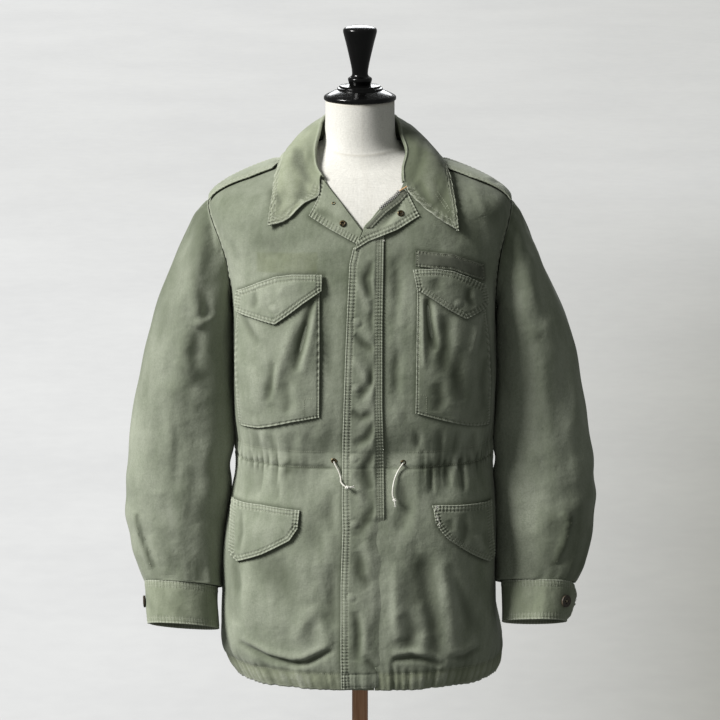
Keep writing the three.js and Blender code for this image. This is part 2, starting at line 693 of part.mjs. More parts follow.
function collarColumn(rows, notch, side, at) {
  const v = (name) => column(rows, COLLAR_COLUMNS, name, at);
  const level = column(COLLAR_SEAM, COLLAR_SEAM_COLUMNS, "level", at);
  const turn = column(COLLAR_SEAM, COLLAR_SEAM_COLUMNS, "turn", at);
  const onEdge = smoothBody(side > 0 ? turn : Math.PI - turn, Math.min(level, NECK_LEVEL));
  const inward = unit([-onEdge[0], -onEdge[1], 0]);
  const seam = [onEdge[0] + inward[0] * 0.4, onEdge[1] + inward[1] * 0.4, onEdge[2] + 1.1];
  const roll = [v("roll_x"), v("roll_y"), v("roll_z")];
  const out = unit([v("edge_x") - roll[0], v("edge_y") - roll[1], 0]);
  const inner = [roll[0] - out[0] * COLLAR_ROLL, roll[1] - out[1] * COLLAR_ROLL, roll[2] - 2];
  const top = [roll[0], roll[1], roll[2] + 1.4];
  const outer = [roll[0] + out[0] * COLLAR_ROLL, roll[1] + out[1] * COLLAR_ROLL, roll[2] - 2];
  const edge = onShoulderOrFront(v("edge_x"), v("edge_y"), v("lift"));
  const leaf = [0.2, 0.4, 0.6, 0.8, 1].map((f) => {
    const p = mix(outer, edge, f);
    const b = COLLAR_BULGE * Math.sin(Math.PI * f);
    return [p[0] + out[0] * b * 0.5, p[1] + out[1] * b * 0.5, p[2] + b];
  });
  const near = Math.max(1 - at, 0);
  if (near > 0) {
    notch.forEach(([x, z], i) => {
      leaf[i] = mix(leaf[i], onFront(x, z, 3.8), near * near);
    });
  }
  return [seam, mix(seam, inner, 0.5), inner, top, outer, ...leaf];
}

function onShoulderOrFront(x, y, out) {
  return onShoulder(x, y, out);
}

const collarSpan = [
  ...COLLAR_STEPS.map((at) => collarColumn(COLLAR_RIGHT, COLLAR_NOTCH_RIGHT, -1, at)),
  ...[...COLLAR_STEPS].reverse().slice(1).map((at) => collarColumn(COLLAR_LEFT, COLLAR_NOTCH_LEFT, 1, at)),
];
const collarGrid = collarSpan[0].map((_, r) => collarSpan.map((col) => col[r]));
add("collar", shellGeometry(collarGrid, CLOTH), OLIVE);

// Cuffs: one strip that runs round the wrist and ends in a pointed tab over its own start
const CUFF_COLUMNS = ["middle_x", "half_x", "middle_y", "half_y", "middle_z", "slope"];
const CUFF_RIGHT = [
  [-260, 51, -28, 38.5, 844.5, 0.085],
  [-259, 50.5, -34, 39.5, 815, 0.08],
  [-257, 50, -40, 41, 785, 0.07],
];
const CUFF_LEFT = [
  [259, 52, -28, 38.5, 848, -0.02],
  [258.5, 50, -34, 39.5, 820, 0],
  [255, 46.5, -40, 41, 792, 0],
];
const CUFF_TILT = 0.38;
const CUFF_LAP_GAP = 0.8;
const CUFF_SPREAD = 1.0;
const CUFF_SWEEP = 7.48;
const CUFF_START_RIGHT = 0.75;
const CUFF_START_LEFT = 1.35;
const CUFF_FACETS = 30;
const TAB_LENGTH = 0.44;
const TAB_FLARE = 3.5;

// Turn is measured from the outer side towards the front
function cuffPoint(rows, side, level, turn, out) {
  const v = (name) => column(rows, CUFF_COLUMNS, name, level);
  const dx = (v("half_x") + out) * Math.cos(turn);
  const dy = -(v("half_y") + out) * Math.sin(turn);
  return [v("middle_x") + side * dx, v("middle_y") + dy, v("middle_z") + v("slope") * dx - CUFF_TILT * dy];
}

const cuffRise = (swept) => Math.min(Math.max((swept - 2 * Math.PI + 0.35) / 0.3, 0), 1) * (CLOTH + 0.4 + CUFF_LAP_GAP);

function cuffGrid(rows, side, start) {
  const grid = [[], [], [], []];
  for (let c = 0; c <= CUFF_FACETS; c++) {
    const swept = (CUFF_SWEEP * c) / CUFF_FACETS;
    const past = Math.max(0, 1 - (CUFF_SWEEP - swept) / TAB_LENGTH);
    const narrow = 1 - 0.75 * past * past;
    for (let r = 0; r < 4; r++) {
      const level = 1 + ((r * 2) / 3 - 1) * narrow;
      grid[r].push(cuffPoint(rows, side, level, start - swept, CUFF_SPREAD + cuffRise(swept) + TAB_FLARE * past));
    }
  }
  return grid;
}

add("cuff_right", shellGeometry(cuffGrid(CUFF_RIGHT, -1, CUFF_START_RIGHT), CLOTH + 0.4, false), OLIVE);
add("cuff_left", shellGeometry(cuffGrid(CUFF_LEFT, 1, CUFF_START_LEFT), CLOTH + 0.4, true), OLIVE);

// A frame that stands a turned or pressed piece on a point with its axis along a direction
function standOn(geometry, point, axis) {
  const from = new THREE.Vector3(0, 0, 1);
  const turn = new THREE.Quaternion().setFromUnitVectors(from, new THREE.Vector3(...unit(axis)));
  geometry.applyQuaternion(turn);
  geometry.translate(...point);
  return geometry;
}

// Four-hole buttons of the cuffs
const BUTTON_RADIUS = 9;
const BUTTON_THICKNESS = 2.6;
const BUTTON_HOLE = 1.1;
const BUTTON_HOLE_REACH = 2.0;

function buttonGeometry() {
  const face = new THREE.Shape();
  face.absarc(0, 0, BUTTON_RADIUS, 0, 2 * Math.PI, false);
  for (const [x, y] of [[1, 1], [-1, 1], [-1, -1], [1, -1]]) {
    const hole = new THREE.Path();
    hole.absarc(x * BUTTON_HOLE_REACH, y * BUTTON_HOLE_REACH, BUTTON_HOLE, 0, 2 * Math.PI, true);
    face.holes.push(hole);
  }
  return new THREE.ExtrudeGeometry(face, { depth: BUTTON_THICKNESS, bevelEnabled: false, curveSegments: 6 });
}

function addButton(name, rows, side, level, turn, seat) {
  const over = CUFF_SPREAD + CLOTH + 0.4 + CUFF_LAP_GAP;
  const e = 0.05;
  const across = minus(cuffPoint(rows, side, level, turn + e, over), cuffPoint(rows, side, level, turn - e, over));
  const down = minus(cuffPoint(rows, side, level + e, turn, over), cuffPoint(rows, side, level - e, turn, over));
  const axis = unit(side > 0 ? cross(across, down) : cross(down, across));
  const foot = along(cuffPoint(rows, side, level, turn, over), axis, seat);
  add(name, standOn(buttonGeometry(), foot, axis), BUTTON_BROWN, 0.35);
}
addButton("cuff_button_right", CUFF_RIGHT, -1, 0.95, -0.02, 0.8);
addButton("cuff_button_left", CUFF_LEFT, 1, 1.05, 0.72, 0.45);

// Small rings: the eyelets of the waist cord and the open halves of the neck snaps
function ringGeometry(outer, inner, height, sides) {
  const half = (outer + inner) / 2;
  const profile = [[inner, 0], [outer, 0], [outer, height * 0.6], [half, height], [inner, height * 0.6], [inner, 0]];
  return new THREE.LatheGeometry(profile.map(([x, y]) => new THREE.Vector2(x, y)), sides).rotateX(Math.PI / 2);
}

function addRingOnFront(name, x, z, out, size, colour) {
  const foot = onFront(x, z, out);
  const axis = minus(onFront(x, z, out + 1), foot);
  add(name, standOn(ringGeometry(size[0], size[1], size[2], 16), foot, axis), colour, 0.4, 0.8);
}
addRingOnFront("eyelet_right", -37.4, 1053.7, 1.7, [4.0, 2.2, 1.0], DARK_METAL);
addRingOnFront("eyelet_left", 61.6, 1051.3, 1.3, [4.0, 2.2, 1.0], DARK_METAL);
addRingOnFront("neck_snap_right", -24, 1394, FIRST_LAYER + 0.6, [4.6, 2.4, 1.8], DARK_METAL);
addRingOnFront("neck_snap_left", 57, 1407, FIRST_LAYER + 1.0, [4.6, 2.4, 1.8], DARK_METAL);

// The waist cord's two free ends, each with its knot, as x, z, height above the cloth and radius
const CORD_SIDES = 8;
const CORD_RIGHT = [
  [-37.2, 1053.2, 3.4, 1.15],
  [-34.5, 1047.5, 4.2, 1.15],
  [-30.5, 1040, 4.0, 1.15],
  [-27.4, 1031, 4.0, 1.15],
  [-26.8, 1024.5, 5.8, 1.3],
  [-22.5, 1020, 8.4, 3.0],
  [-17.5, 1017.5, 9.0, 3.6],
  [-12.5, 1018, 8.2, 2.8],
  [-9.5, 1019, 7.2, 1.2],
];
const CORD_LEFT = [
  [61.4, 1050.8, 3.4, 1.15],
  [58.2, 1046, 4.2, 1.15],
  [53.0, 1037, 4.0, 1.15],
  [48.8, 1026, 4.0, 1.15],
  [46.6, 1014, 4.0, 1.15],
  [46.4, 1006, 4.4, 1.4],
  [47.4, 1001.5, 5.2, 3.2],
  [49.3, 997.5, 5.2, 3.2],
  [50.2, 994, 4.4, 1.4],
  [50.0, 990, 4.0, 1.15],
  [49.8, 985, 4.0, 1.15],
];

function cordGeometry(rows) {
  const centres = rows.map(([x, z, out]) => onFront(x, z, out));
  const rings = centres.map((p, i) => {
    const before = centres[Math.max(i - 1, 0)];
    const after = centres[Math.min(i + 1, centres.length - 1)];
    const run = unit(minus(after, before));
    const a = unit(cross(run, [0, -1, 0]));
    const b = cross(run, a);
    const ring = [];
    for (let k = 0; k < CORD_SIDES; k++) {
      const t = (2 * Math.PI * k) / CORD_SIDES;
      ring.push(along(along(p, a, rows[i][3] * Math.cos(t)), b, rows[i][3] * Math.sin(t)));
    }
    return ring;
  });
  return ringSolid(rings);
}
add("waist_cord_right", cordGeometry(CORD_RIGHT), CORD_WHITE);
add("waist_cord_left", cordGeometry(CORD_LEFT), CORD_WHITE);

// The limbless form: the body's own shape, set in under the cloth, with a neck
const FORM_COLUMNS = ["level", "inset"];
const FORM_ROWS = [
  [1.6, 17],
  [2.5, 15],
  [4.0, 20],
  [5.5, 25],
  [7.0, 27],
  [8.5, 22],
  [10.0, 17],
  [11.5, 13],
  [12.7, 10],
  [13.7, 7.5],
  [14.5, 5.5],
  [15.2, 3.4],
  [16.0, 2.3],
  [17.0, 2.2],
  [18.0, 2.2],
  [19.0, 2.2],
  [20.0, 2.8],
  [21.0, 3.4],
];
const FORM_NECK_COLUMNS = ["side_z", "front_z", "back_z", "half_width", "front_depth", "back_depth"];
const FORM_NECK_ROWS = [
  [1484, 1474, 1500, 65, 58, 56],
  [1493, 1487, 1506, 55, 53, 52],
  [1506, 1503, 1514, 50.5, 50.5, 50.5],
  [1530, 1530, 1530, 49.6, 49.6, 49.6],
  [1553.5, 1553.5, 1553.5, 49.4, 49.4, 49.4],
];
const FORM_SIDES = 26;

const formRings = FORM_ROWS.map(([level, inset]) => {
  const ring = [];
  for (let k = 0; k < FORM_SIDES; k++) {
    const turn = (2 * Math.PI * k) / FORM_SIDES;
    ring.push(along(smoothBody(turn, level), bodyNormal(turn, level), -inset));
  }
  return ring;
});
for (const [side, front, back, wide, ahead, behind] of FORM_NECK_ROWS) {
  const ring = [];
  for (let k = 0; k < FORM_SIDES; k++) {
    const turn = (2 * Math.PI * k) / FORM_SIDES;
    const s = Math.sin(turn);
    const end = s > 0 ? front : back;
    ring.push([wide * Math.cos(turn), -(s > 0 ? ahead : behind) * s, side + (end - side) * s * s]);
  }
  formRings.push(ring);
}
const FORM_FOOT = Math.min(...formRings[0].map((p) => p[2]));
formRings[0].forEach((p) => {
  p[2] = FORM_FOOT;
});
add("form_body", ringSolid(formRings, true), IVORY, 0.85);

// The turned neck cap with its knob, as radius and height
const CAP = [
  [0, 1553.9],
  [50.4, 1553.9],
  [51.6, 1555.2],
  [51.6, 1558.6],
  [49.6, 1560.6],
  [41, 1565],
  [32.4, 1568.6],
  [32.4, 1571.2],
  [29.4, 1572],
  [29.4, 1574.4],
  [15.2, 1575.8],
  [16.8, 1581.6],
  [17.2, 1583.8],
  [12, 1588.6],
  [11.4, 1592.5],
  [12.6, 1602],
  [15.8, 1617],
  [19.8, 1634],
  [22.8, 1645.5],
  [24.1, 1652],
  [22.8, 1655.6],
  [18, 1658.2],
  [10, 1659.9],
  [0, 1660.4],
];
const turned = (profile, sides) => new THREE.LatheGeometry(profile.map(([x, y]) => new THREE.Vector2(x, y)), sides).rotateX(Math.PI / 2);
add("form_cap", turned(CAP, 28), BLACK_WOOD, 0.25);

// The pole and the plain round base
const POLE_RADIUS = 11.8;
const POLE_TOP = FORM_FOOT - 0.5;
const BASE_RADIUS = 190;
const BASE = [
  [0, 0],
  [186, 0],
  [BASE_RADIUS, 4],
  [BASE_RADIUS, 14],
  [184, 20],
  [60, 24],
  [26, 27],
  [22, 40],
  [0, 40],
];
add("form_pole", turned([[0, 40.4], [POLE_RADIUS, 40.4], [POLE_RADIUS, POLE_TOP], [0, POLE_TOP]], 24), RED_WOOD, 0.45);
add("form_base", turned(BASE, 36), BLACK_WOOD, 0.4);

export default part;
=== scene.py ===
import math

import bmesh
import bpy
import numpy as np
from mathutils import Matrix, Vector


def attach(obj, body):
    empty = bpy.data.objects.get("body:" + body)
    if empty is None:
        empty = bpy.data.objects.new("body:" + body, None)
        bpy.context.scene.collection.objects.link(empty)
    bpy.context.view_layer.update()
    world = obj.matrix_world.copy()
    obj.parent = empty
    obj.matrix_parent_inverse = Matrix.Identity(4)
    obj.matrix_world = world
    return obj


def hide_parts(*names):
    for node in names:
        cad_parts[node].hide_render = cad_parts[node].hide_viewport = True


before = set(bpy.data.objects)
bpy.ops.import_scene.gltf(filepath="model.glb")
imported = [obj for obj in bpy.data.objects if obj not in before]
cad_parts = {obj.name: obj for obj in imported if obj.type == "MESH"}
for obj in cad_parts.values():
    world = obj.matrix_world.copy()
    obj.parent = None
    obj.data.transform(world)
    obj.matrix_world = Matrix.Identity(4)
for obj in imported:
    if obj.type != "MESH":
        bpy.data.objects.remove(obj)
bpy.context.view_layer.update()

# A field jacket on a dress form. The shapes are worked out in millimetres, as the part's are,
# and turned into metres when a mesh is made. The front faces -Y and the wearer's left is +X.
MM = 0.001
TAU = 2 * math.pi

# The photograph's view: a long lens, looking down a little on the chest
AIM = Vector((0.0, 0.0, 1.174))
ELEVATION = math.radians(12)
DISTANCE = 5.0
LENS = 172.4
SENSOR = 36.0


def set_camera():
    lens = bpy.data.cameras.new("studio_camera")
    lens.lens = LENS
    lens.sensor_width = SENSOR
    camera = bpy.data.objects.new("studio_camera", lens)
    back = Vector((0, -math.cos(ELEVATION), math.sin(ELEVATION)))
    camera.location = AIM + back * DISTANCE
    camera.rotation_euler = (math.pi / 2 - ELEVATION, 0, 0)
    bpy.context.scene.collection.objects.link(camera)
    bpy.context.scene.camera = camera


set_camera()

# Cloth walls and the gaps at the seams
CLOTH = 1.4
DOUBLE_CLOTH = 2.0
SEAM_GAP = 0.5
LAY_GAP = 0.6
FIRST_LAYER = LAY_GAP + 0.4 + CLOTH
FLAP_LAYER = FIRST_LAYER + LAY_GAP + DOUBLE_CLOTH + 2.4
FLY_LAYER = LAY_GAP + 0.8 + DOUBLE_CLOTH
STRAP_LAYER = LAY_GAP + 2.0 + DOUBLE_CLOTH

# The jacket's body from the hem to the neck seam: side z, front z, back z, middle x,
# half width, front depth, back depth and squareness
BODY = np.array([
    [710, 713, 706, 9, 192, 126, 122, 2.2],
    [730, 731, 728, 7, 201, 130, 127, 2.2],
    [758, 758, 758, 3, 207, 133, 130, 2.4],
    [818, 818, 818, -1, 201, 135, 132, 2.6],
    [910, 910, 910, 0, 199, 134, 130, 2.8],
    [970, 970, 970, 4, 194, 132, 127, 2.8],
    [1015, 1015, 1015, 6, 188, 129, 122, 2.7],
    [1060, 1060, 1060, 6, 187, 127, 120, 2.7],
    [1110, 1110, 1110, 6.5, 189, 135, 126, 2.9],
    [1165, 1165, 1165, 6.5, 189.5, 138, 129, 3.1],
    [1215, 1215, 1215, 6.5, 189.5, 138, 130, 3.2],
    [1256, 1256, 1256, 6, 189, 137, 130, 3.2],
    [1294, 1296, 1296, 5, 192, 134, 129, 3.1],
    [1332, 1334, 1335, 4, 201, 131, 127, 2.8],
    [1370, 1362, 1372, 2, 212, 127, 124, 2.6],
    [1400, 1386, 1404, 0, 217, 121, 119, 2.5],
    [1417, 1402, 1424, 0, 212, 114, 113, 2.5],
    [1431, 1416, 1442, 0, 196, 107, 105, 2.4],
    [1444, 1430, 1459, 0, 172, 98, 96, 2.3],
    [1456, 1443, 1475, 0, 143, 88, 86, 2.2],
    [1467, 1455, 1490, 0, 111, 78, 75, 2.1],
    [1480, 1465, 1503, 0, 82, 68, 64, 2.0],
])
NECK_LEVEL = len(BODY) - 1
BACK_FULLNESS = 0.45

# The armhole edge: level, how far it lies before the side line and how far behind
ARMHOLE = np.array([
    [11.0, 0, 0],
    [11.25, 22, 22],
    [11.6, 34, 35],
    [12.0, 42, 44],
    [12.6, 49, 52],
    [13.0, 52, 55],
    [13.6, 51, 54],
    [14.0, 47, 50],
    [14.6, 36, 40],
    [15.0, 26, 29],
    [15.3, 14, 16],
    [15.5, 0, 0],
])
ARMHOLE_FOOT = 11.0
ARMHOLE_TOP = 15.5

# The fronts' inner edges: level, x on the wearer's right and x on the left
FOLD = np.array([
    [0.0, 20, 21.4],
    [14.4, 20, 21.4],
    [15.0, 3, 5],
    [16.0, -9, 17],
    [17.0, -21, 30],
    [18.0, -33, 52],
    [19.0, -45, 61],
    [20.0, -54, 67],
    [21.0, -72, 76],
])


def smooth_row(table, at):
    """Every column of a table at fractional row numbers, on one smooth curve."""
    last = len(table) - 1
    at = np.clip(np.asarray(at, float), 0, last)
    i = np.minimum(np.floor(at).astype(int), last - 1)
    f = (at - i)[..., None]
    before = table[np.maximum(i - 1, 0)]
    here = table[i]
    after = table[i + 1]
    beyond = table[np.minimum(i + 2, last)]
    bend = 2 * before - 5 * here + 4 * after - beyond
    twist = 3 * here - before - 3 * after + beyond
    return (2 * here + (after - before) * f + bend * f ** 2 + twist * f ** 3) / 2


def unit(vectors):
    length = np.linalg.norm(vectors, axis=-1, keepdims=True)
    return vectors / np.maximum(length, 1e-9)


def smooth_step(low, high, value):
    f = np.clip((value - low) / (high - low), 0, 1)
    return f * f * (3 - 2 * f)


def bell(value, middle, width):
    return np.exp(-(((value - middle) / width) ** 2))


def line_lengths(points):
    """How far along a line of points each of them lies."""
    return np.concatenate([[0], np.cumsum(np.linalg.norm(np.diff(points, axis=0), axis=1))])


def places_at(marks, along, values):
    """Points or normals of a line at given distances along it."""
    return np.stack([np.interp(marks, along, column) for column in values.T], axis=-1)


def body_smooth(turn, level):
    """The body without folds: turn 0 is the wearer's left side, a quarter turn is the front."""
    turn, level = np.broadcast_arrays(np.asarray(turn, float), np.asarray(level, float))
    c = np.cos(turn)
    s = np.sin(turn)
    row = smooth_row(BODY, level)
    side_z, front_z, back_z, middle, half, ahead, behind, square = np.moveaxis(row, -1, 0)
    front = s > 0
    power = np.where(front, square, 2 + (square - 2) * BACK_FULLNESS)
    r = (np.abs(c) ** power + np.abs(s) ** power) ** (-1 / power)
    depth = np.where(front, ahead, behind)
    far_z = np.where(front, front_z, back_z)
    x = middle + half * r * c
    z = side_z + (far_z - side_z) * s * s
    return np.stack([x, -depth * r * s, z], axis=-1)


def body_normal(turn, level):
    turn, level = np.broadcast_arrays(np.asarray(turn, float), np.asarray(level, float))
    e = 0.02
    low = np.maximum(level - e, 0)
    high = np.minimum(level + e, NECK_LEVEL)
    a = body_smooth(turn + e, level) - body_smooth(turn - e, level)
    b = body_smooth(turn, high) - body_smooth(turn, low)
    return unit(np.cross(b, a))


HEM_Z = 712
WAIST_Z = 1038
GATHER_HEIGHT = 2.4
GATHER_WAVES = 13
HEM_WAVES = 11
HEM_RIPPLE = 1.6


def body_fold(turn, z):
    """The largest folds, as in the part: gathers at the waist and a ripple at the hem."""
    waist = bell(z, WAIST_Z, 42)
    hem = bell(z, 722, 30)
    clear = np.abs(np.sin(turn)) ** 0.6
    gathers = np.sin(GATHER_WAVES * turn + 1.4 * np.sin(z / 34)) - 1
    ripple = np.sin(HEM_WAVES * turn + 0.8 * np.sin(3 * turn))
    return clear * (GATHER_HEIGHT * waist * gathers + HEM_RIPPLE * hem * ripple)


def line_distance(x, z, points):
    """Signed distance to a line of points, and how far along it the nearest place is, 0 to 1."""
    points = np.array(points, float)
    lengths = np.linalg.norm(np.diff(points, axis=0), axis=1)
    total = lengths.sum()
    best = np.full(np.shape(x), 1e9)
    signed = np.zeros(np.shape(x))
    share = np.zeros(np.shape(x))
    passed = 0.0
    for a, b, length in zip(points[:-1], points[1:], lengths):
        run = (b - a) / length
        dx = x - a[0]
        dz = z - a[1]
        t = np.clip(dx * run[0] + dz * run[1], 0, length)
        off_x = dx - t * run[0]
        off_z = dz - t * run[1]
        d = np.hypot(off_x, off_z)
        nearer = d < best
        side = np.sign(run[0] * off_z - run[1] * off_x)
        best = np.where(nearer, d, best)
        signed = np.where(nearer, d * side, signed)
        share = np.where(nearer, (passed + t) / total, share)
        passed += length
    return signed, share


def crease(x, z, points, width, depth, lip=0.45):
    """A soft trough along a given line, with a lower ridge beside it; a negative depth
    is a ridge with a trough beside it. It fades at both ends."""
    d, share = line_distance(x, z, points)
    fade = np.sqrt(np.clip(np.sin(math.pi * np.clip(share, 0, 1)), 0, 1))
    near = np.exp(-((d / width) ** 2))
    beside = np.exp(-(((d - 1.9 * width) / (1.3 * width)) ** 2))
    return depth * fade * (lip * beside - near)


def add_creases(relief, x, z, creases, wider=1.0, deeper=1.0, shown=True):
    """A relief with a list of creases on it, each given as points, width and depth."""
    for points, width, depth in creases:
        made = crease(x, z, points, wider * width, deeper * depth)
        relief = relief + np.where(shown, made, 0)
    return relief


# Creases of the fronts that the photograph shows: points in x and z, width, depth
FRONT_CREASES = [
    ([[-119, 1050], [-120, 1024], [-118, 990]], 3.2, 2.6),
    ([[-127, 1100], [-124, 1075], [-122, 1052]], 3.6, 2.4),
    ([[-104, 1052], [-106, 1018]], 3.2, 1.8),
    ([[-96, 1096], [-100, 1058]], 5.0, 1.5),
    ([[-148, 1100], [-146, 1054]], 4.5, 2.0),
    ([[-142, 1050], [-145, 1000]], 4.0, 2.0),
    ([[-64, 1130], [-70, 1090], [-62, 1068]], 8.0, 1.4),
    ([[-38, 1010], [-40, 975], [-36, 948]], 8.0, 2.4),
    ([[-52, 990], [-62, 950], [-56, 905]], 13.0, 1.6),
    ([[-33, 905], [-35, 862], [-31, 812]], 10.0, 4.0),
    ([[-66, 842], [-52, 806], [-40, 786]], 9.0, -3.0),
    ([[-66, 842], [-82, 812], [-92, 786]], 10.0, -2.4),
    ([[-176, 774], [-135, 758], [-98, 752], [-78, 755], [-37, 778]], 4.6, 5.6),
    ([[-150, 930], [-120, 890], [-70, 860]], 22.0, 2.0),
    ([[-170, 860], [-140, 820], [-110, 800]], 20.0, -2.0),
    ([[-182, 900], [-178, 850], [-180, 800]], 9.0, 2.4),
    ([[85, 940], [98, 880], [108, 820], [112, 745]], 13.0, 4.4),
    ([[52, 905], [50, 850], [60, 790]], 17.0, -3.8),
    ([[126, 900], [146, 850], [168, 790]], 8.0, 2.2),
    ([[60, 830], [76, 800], [70, 770]], 12.0, 3.0),
    ([[46, 761], [75, 764], [100, 757], [116, 748]], 4.4, 5.0),
    ([[128, 760], [150, 756], [176, 768]], 5.0, 3.0),
    ([[60, 1030], [66, 985], [58, 950]], 10.0, 2.2),
    ([[80, 1098], [84, 1070]], 4.5, 2.2),
    ([[103, 1046], [101, 1003]], 3.4, 2.4),
    ([[124, 1050], [128, 1008]], 3.4, 2.2),
    ([[146, 1052], [150, 1004]], 3.6, 2.6),
    ([[114, 1100], [112, 1062]], 5.0, 2.2),
    ([[140, 1098], [136, 1060]], 4.6, 2.2),
    ([[164, 1096], [162, 1058]], 4.6, 2.4),
    ([[-186, 1390], [-150, 1404], [-112, 1428]], 12.0, -1.6),
    ([[-150, 1372], [-120, 1362], [-80, 1366]], 14.0, 1.2),
    ([[-196, 1360], [-184, 1330], [-180, 1300]], 7.0, -1.6),
    ([[160, 1444], [172, 1410], [184, 1378], [188, 1340]], 7.0, -2.2),
    ([[110, 1392], [140, 1380], [170, 1392]], 14.0, 1.4),
    ([[50, 1350], [54, 1300], [48, 1250]], 9.0, 1.6),
    ([[56, 1220], [50, 1180], [58, 1130]], 10.0, 2.0),
    ([[-40, 1300], [-44, 1240], [-40, 1180]], 10.0, 1.2),
]

# Creases of the back, drawn as seen from in front
BACK_CREASES = [
    ([[-150, 1330], [-110, 1290], [-60, 1270]], 16.0, 2.4),
    ([[152, 1336], [112, 1300], [70, 1272]], 15.0, 2.2),
    ([[-168, 1280], [-150, 1210], [-156, 1130]], 11.0, 3.0),
    ([[166, 1276], [150, 1200], [158, 1120]], 12.0, 2.8),
    ([[-60, 1180], [-30, 1130], [10, 1110]], 20.0, 2.0),
    ([[96, 1190], [70, 1140], [76, 1080]], 14.0, 2.2),
    ([[-96, 1150], [-104, 1090], [-98, 1052]], 9.0, 2.4),
    ([[10, 1120], [16, 1080], [8, 1046]], 8.0, 2.0),
    ([[-120, 1000], [-130, 930], [-110, 860]], 15.0, 3.2),
    ([[-30, 1010], [-24, 940], [-40, 870]], 16.0, 2.8),
    ([[64, 1004], [78, 930], [66, 850]], 15.0, 3.2),
    ([[140, 1000], [150, 920], [144, 840]], 13.0, 3.0),
    ([[-150, 762], [-110, 750], [-60, 756]], 5.0, 4.4),
    ([[-20, 752], [30, 758], [70, 750]], 5.0, 4.2),
    ([[100, 762], [140, 752], [176, 766]], 5.0, 4.4),
    ([[-90, 830], [-60, 800], [-20, 810]], 14.0, -2.6),
    ([[90, 826], [60, 800], [30, 806]], 14.0, -2.6),
]

BODY_CREASE_DEPTH = 1.3

chance = np.random.default_rng(65)


def scattered(count, low, high):
    """Places spread unevenly between two ends, none close to its neighbour."""
    step = (high - low) / count
    return low + step * (np.arange(count) + 0.5 + chance.uniform(-0.32, 0.32, count))


# Gathers of the waist cord and of the hem cord: turn, width as an angle, depth, rise and fall
GATHERS = []
for first, last, count in ((0.10, 1.16, 17), (1.98, 3.04, 17), (3.24, 6.18, 44)):
    for place in scattered(count, first, last):
        width = chance.uniform(0.014, 0.024)
        depth = chance.uniform(0.8, 2.3)
        rise = chance.uniform(14, 42)
        fall = chance.uniform(14, 44)
        lean = chance.uniform(-0.0006, 0.0006)
        GATHERS.append((place, width, 1.25 * depth, rise, fall, lean))
HEM_GATHERS = []
for place in scattered(104, 0.0, TAU):
    width = chance.uniform(0.013, 0.022)
    depth = chance.uniform(1.0, 2.4)
    reach = chance.uniform(6, 24)
    HEM_GATHERS.append((place, width, depth, reach))
HEM_STITCH_RISE = 27
WAIST_TOP_Z = 1066
WAIST_FOOT_Z = 1043


def turn_gap(turn, place):
    return np.mod(turn - place + math.pi, TAU) - math.pi


def waist_relief(turn, z):
    """The channel of the waist cord between its two rows of stitching, and its small gathers."""
    middle = (WAIST_TOP_Z + WAIST_FOOT_Z) / 2
    lift = 0.5 * bell(z, middle, 9)
    lift = lift - 0.7 * bell(z, WAIST_TOP_Z, 2.0) - 1.6 * bell(z, WAIST_FOOT_Z, 2.2)
    quarter = math.pi / 2
    gathered = smooth_step(0.30, 0.42, np.abs(np.mod(turn, math.pi) - quarter) / quarter)
    gathered = np.where(np.mod(turn, TAU) > math.pi, 1.0, gathered)
    ruffle = np.sin(turn * 84 + 1.9 * np.sin(turn * 13) + 0.012 * (z - middle) * np.sin(turn * 17))
    ruffle = ruffle * (0.65 + 0.35 * np.sin(turn * 31))
    lift = lift + 2.5 * gathered * ruffle * bell(z, WAIST_FOOT_Z + 1, 12)
    near = np.abs(z - middle) < 150
    total = np.zeros(np.shape(z))
    for place, width, depth, rise, fall, lean in GATHERS:
        d = turn_gap(turn, place + lean * (z - middle)) / width
        reach = np.where(z > middle, rise, fall)
        total = total - depth * np.exp(-d * d) * np.exp(-((z - middle) / reach) ** 2)
    return np.where(near, lift + total, 0)


def hem_relief(turn, rise):
    """The gathered hem channel; rise is the height above the hem's edge."""
    total = -0.9 * bell(rise, HEM_STITCH_RISE, 2.4) + 1.0 * bell(rise, HEM_STITCH_RISE * 0.5, 9)
    for place, width, depth, reach in HEM_GATHERS:
        d = turn_gap(turn, place) / width
        above = np.exp(-(np.maximum(rise - HEM_STITCH_RISE, 0) / reach) ** 2)
        total = total - 1.35 * depth * np.exp(-d * d) * above
    return np.where(rise < 110, total, 0)


def drape(turn, p):
    """Small relief of the body cloth: channels, gathers, creases and a gentle unevenness."""
    x = p[..., 0]
    z = p[..., 2]
    front = np.sin(turn) > 0
    relief = waist_relief(turn, z) + hem_relief(turn, z - HEM_Z)
    relief = add_creases(relief, x, z, FRONT_CREASES, 1.0, BODY_CREASE_DEPTH, front)
    relief = add_creases(relief, x, z, BACK_CREASES, 1.0, BODY_CREASE_DEPTH, ~front)
    uneven = np.sin(turn * 9 + z / 31) * np.sin(z / 47 + 1.3 * np.sin(turn * 4))
    finer = np.sin(turn * 23 - z / 19 + 2 * np.sin(z / 60)) * np.sin(z / 23 + turn * 7)
    small = 1.1 * uneven + 0.5 * finer
    shoulder = smooth_step(1345, 1400, z)
    relief = relief + small * (1 - 0.7 * shoulder)
    return relief * np.where(shoulder > 0, 1 - 0.55 * shoulder, 1)


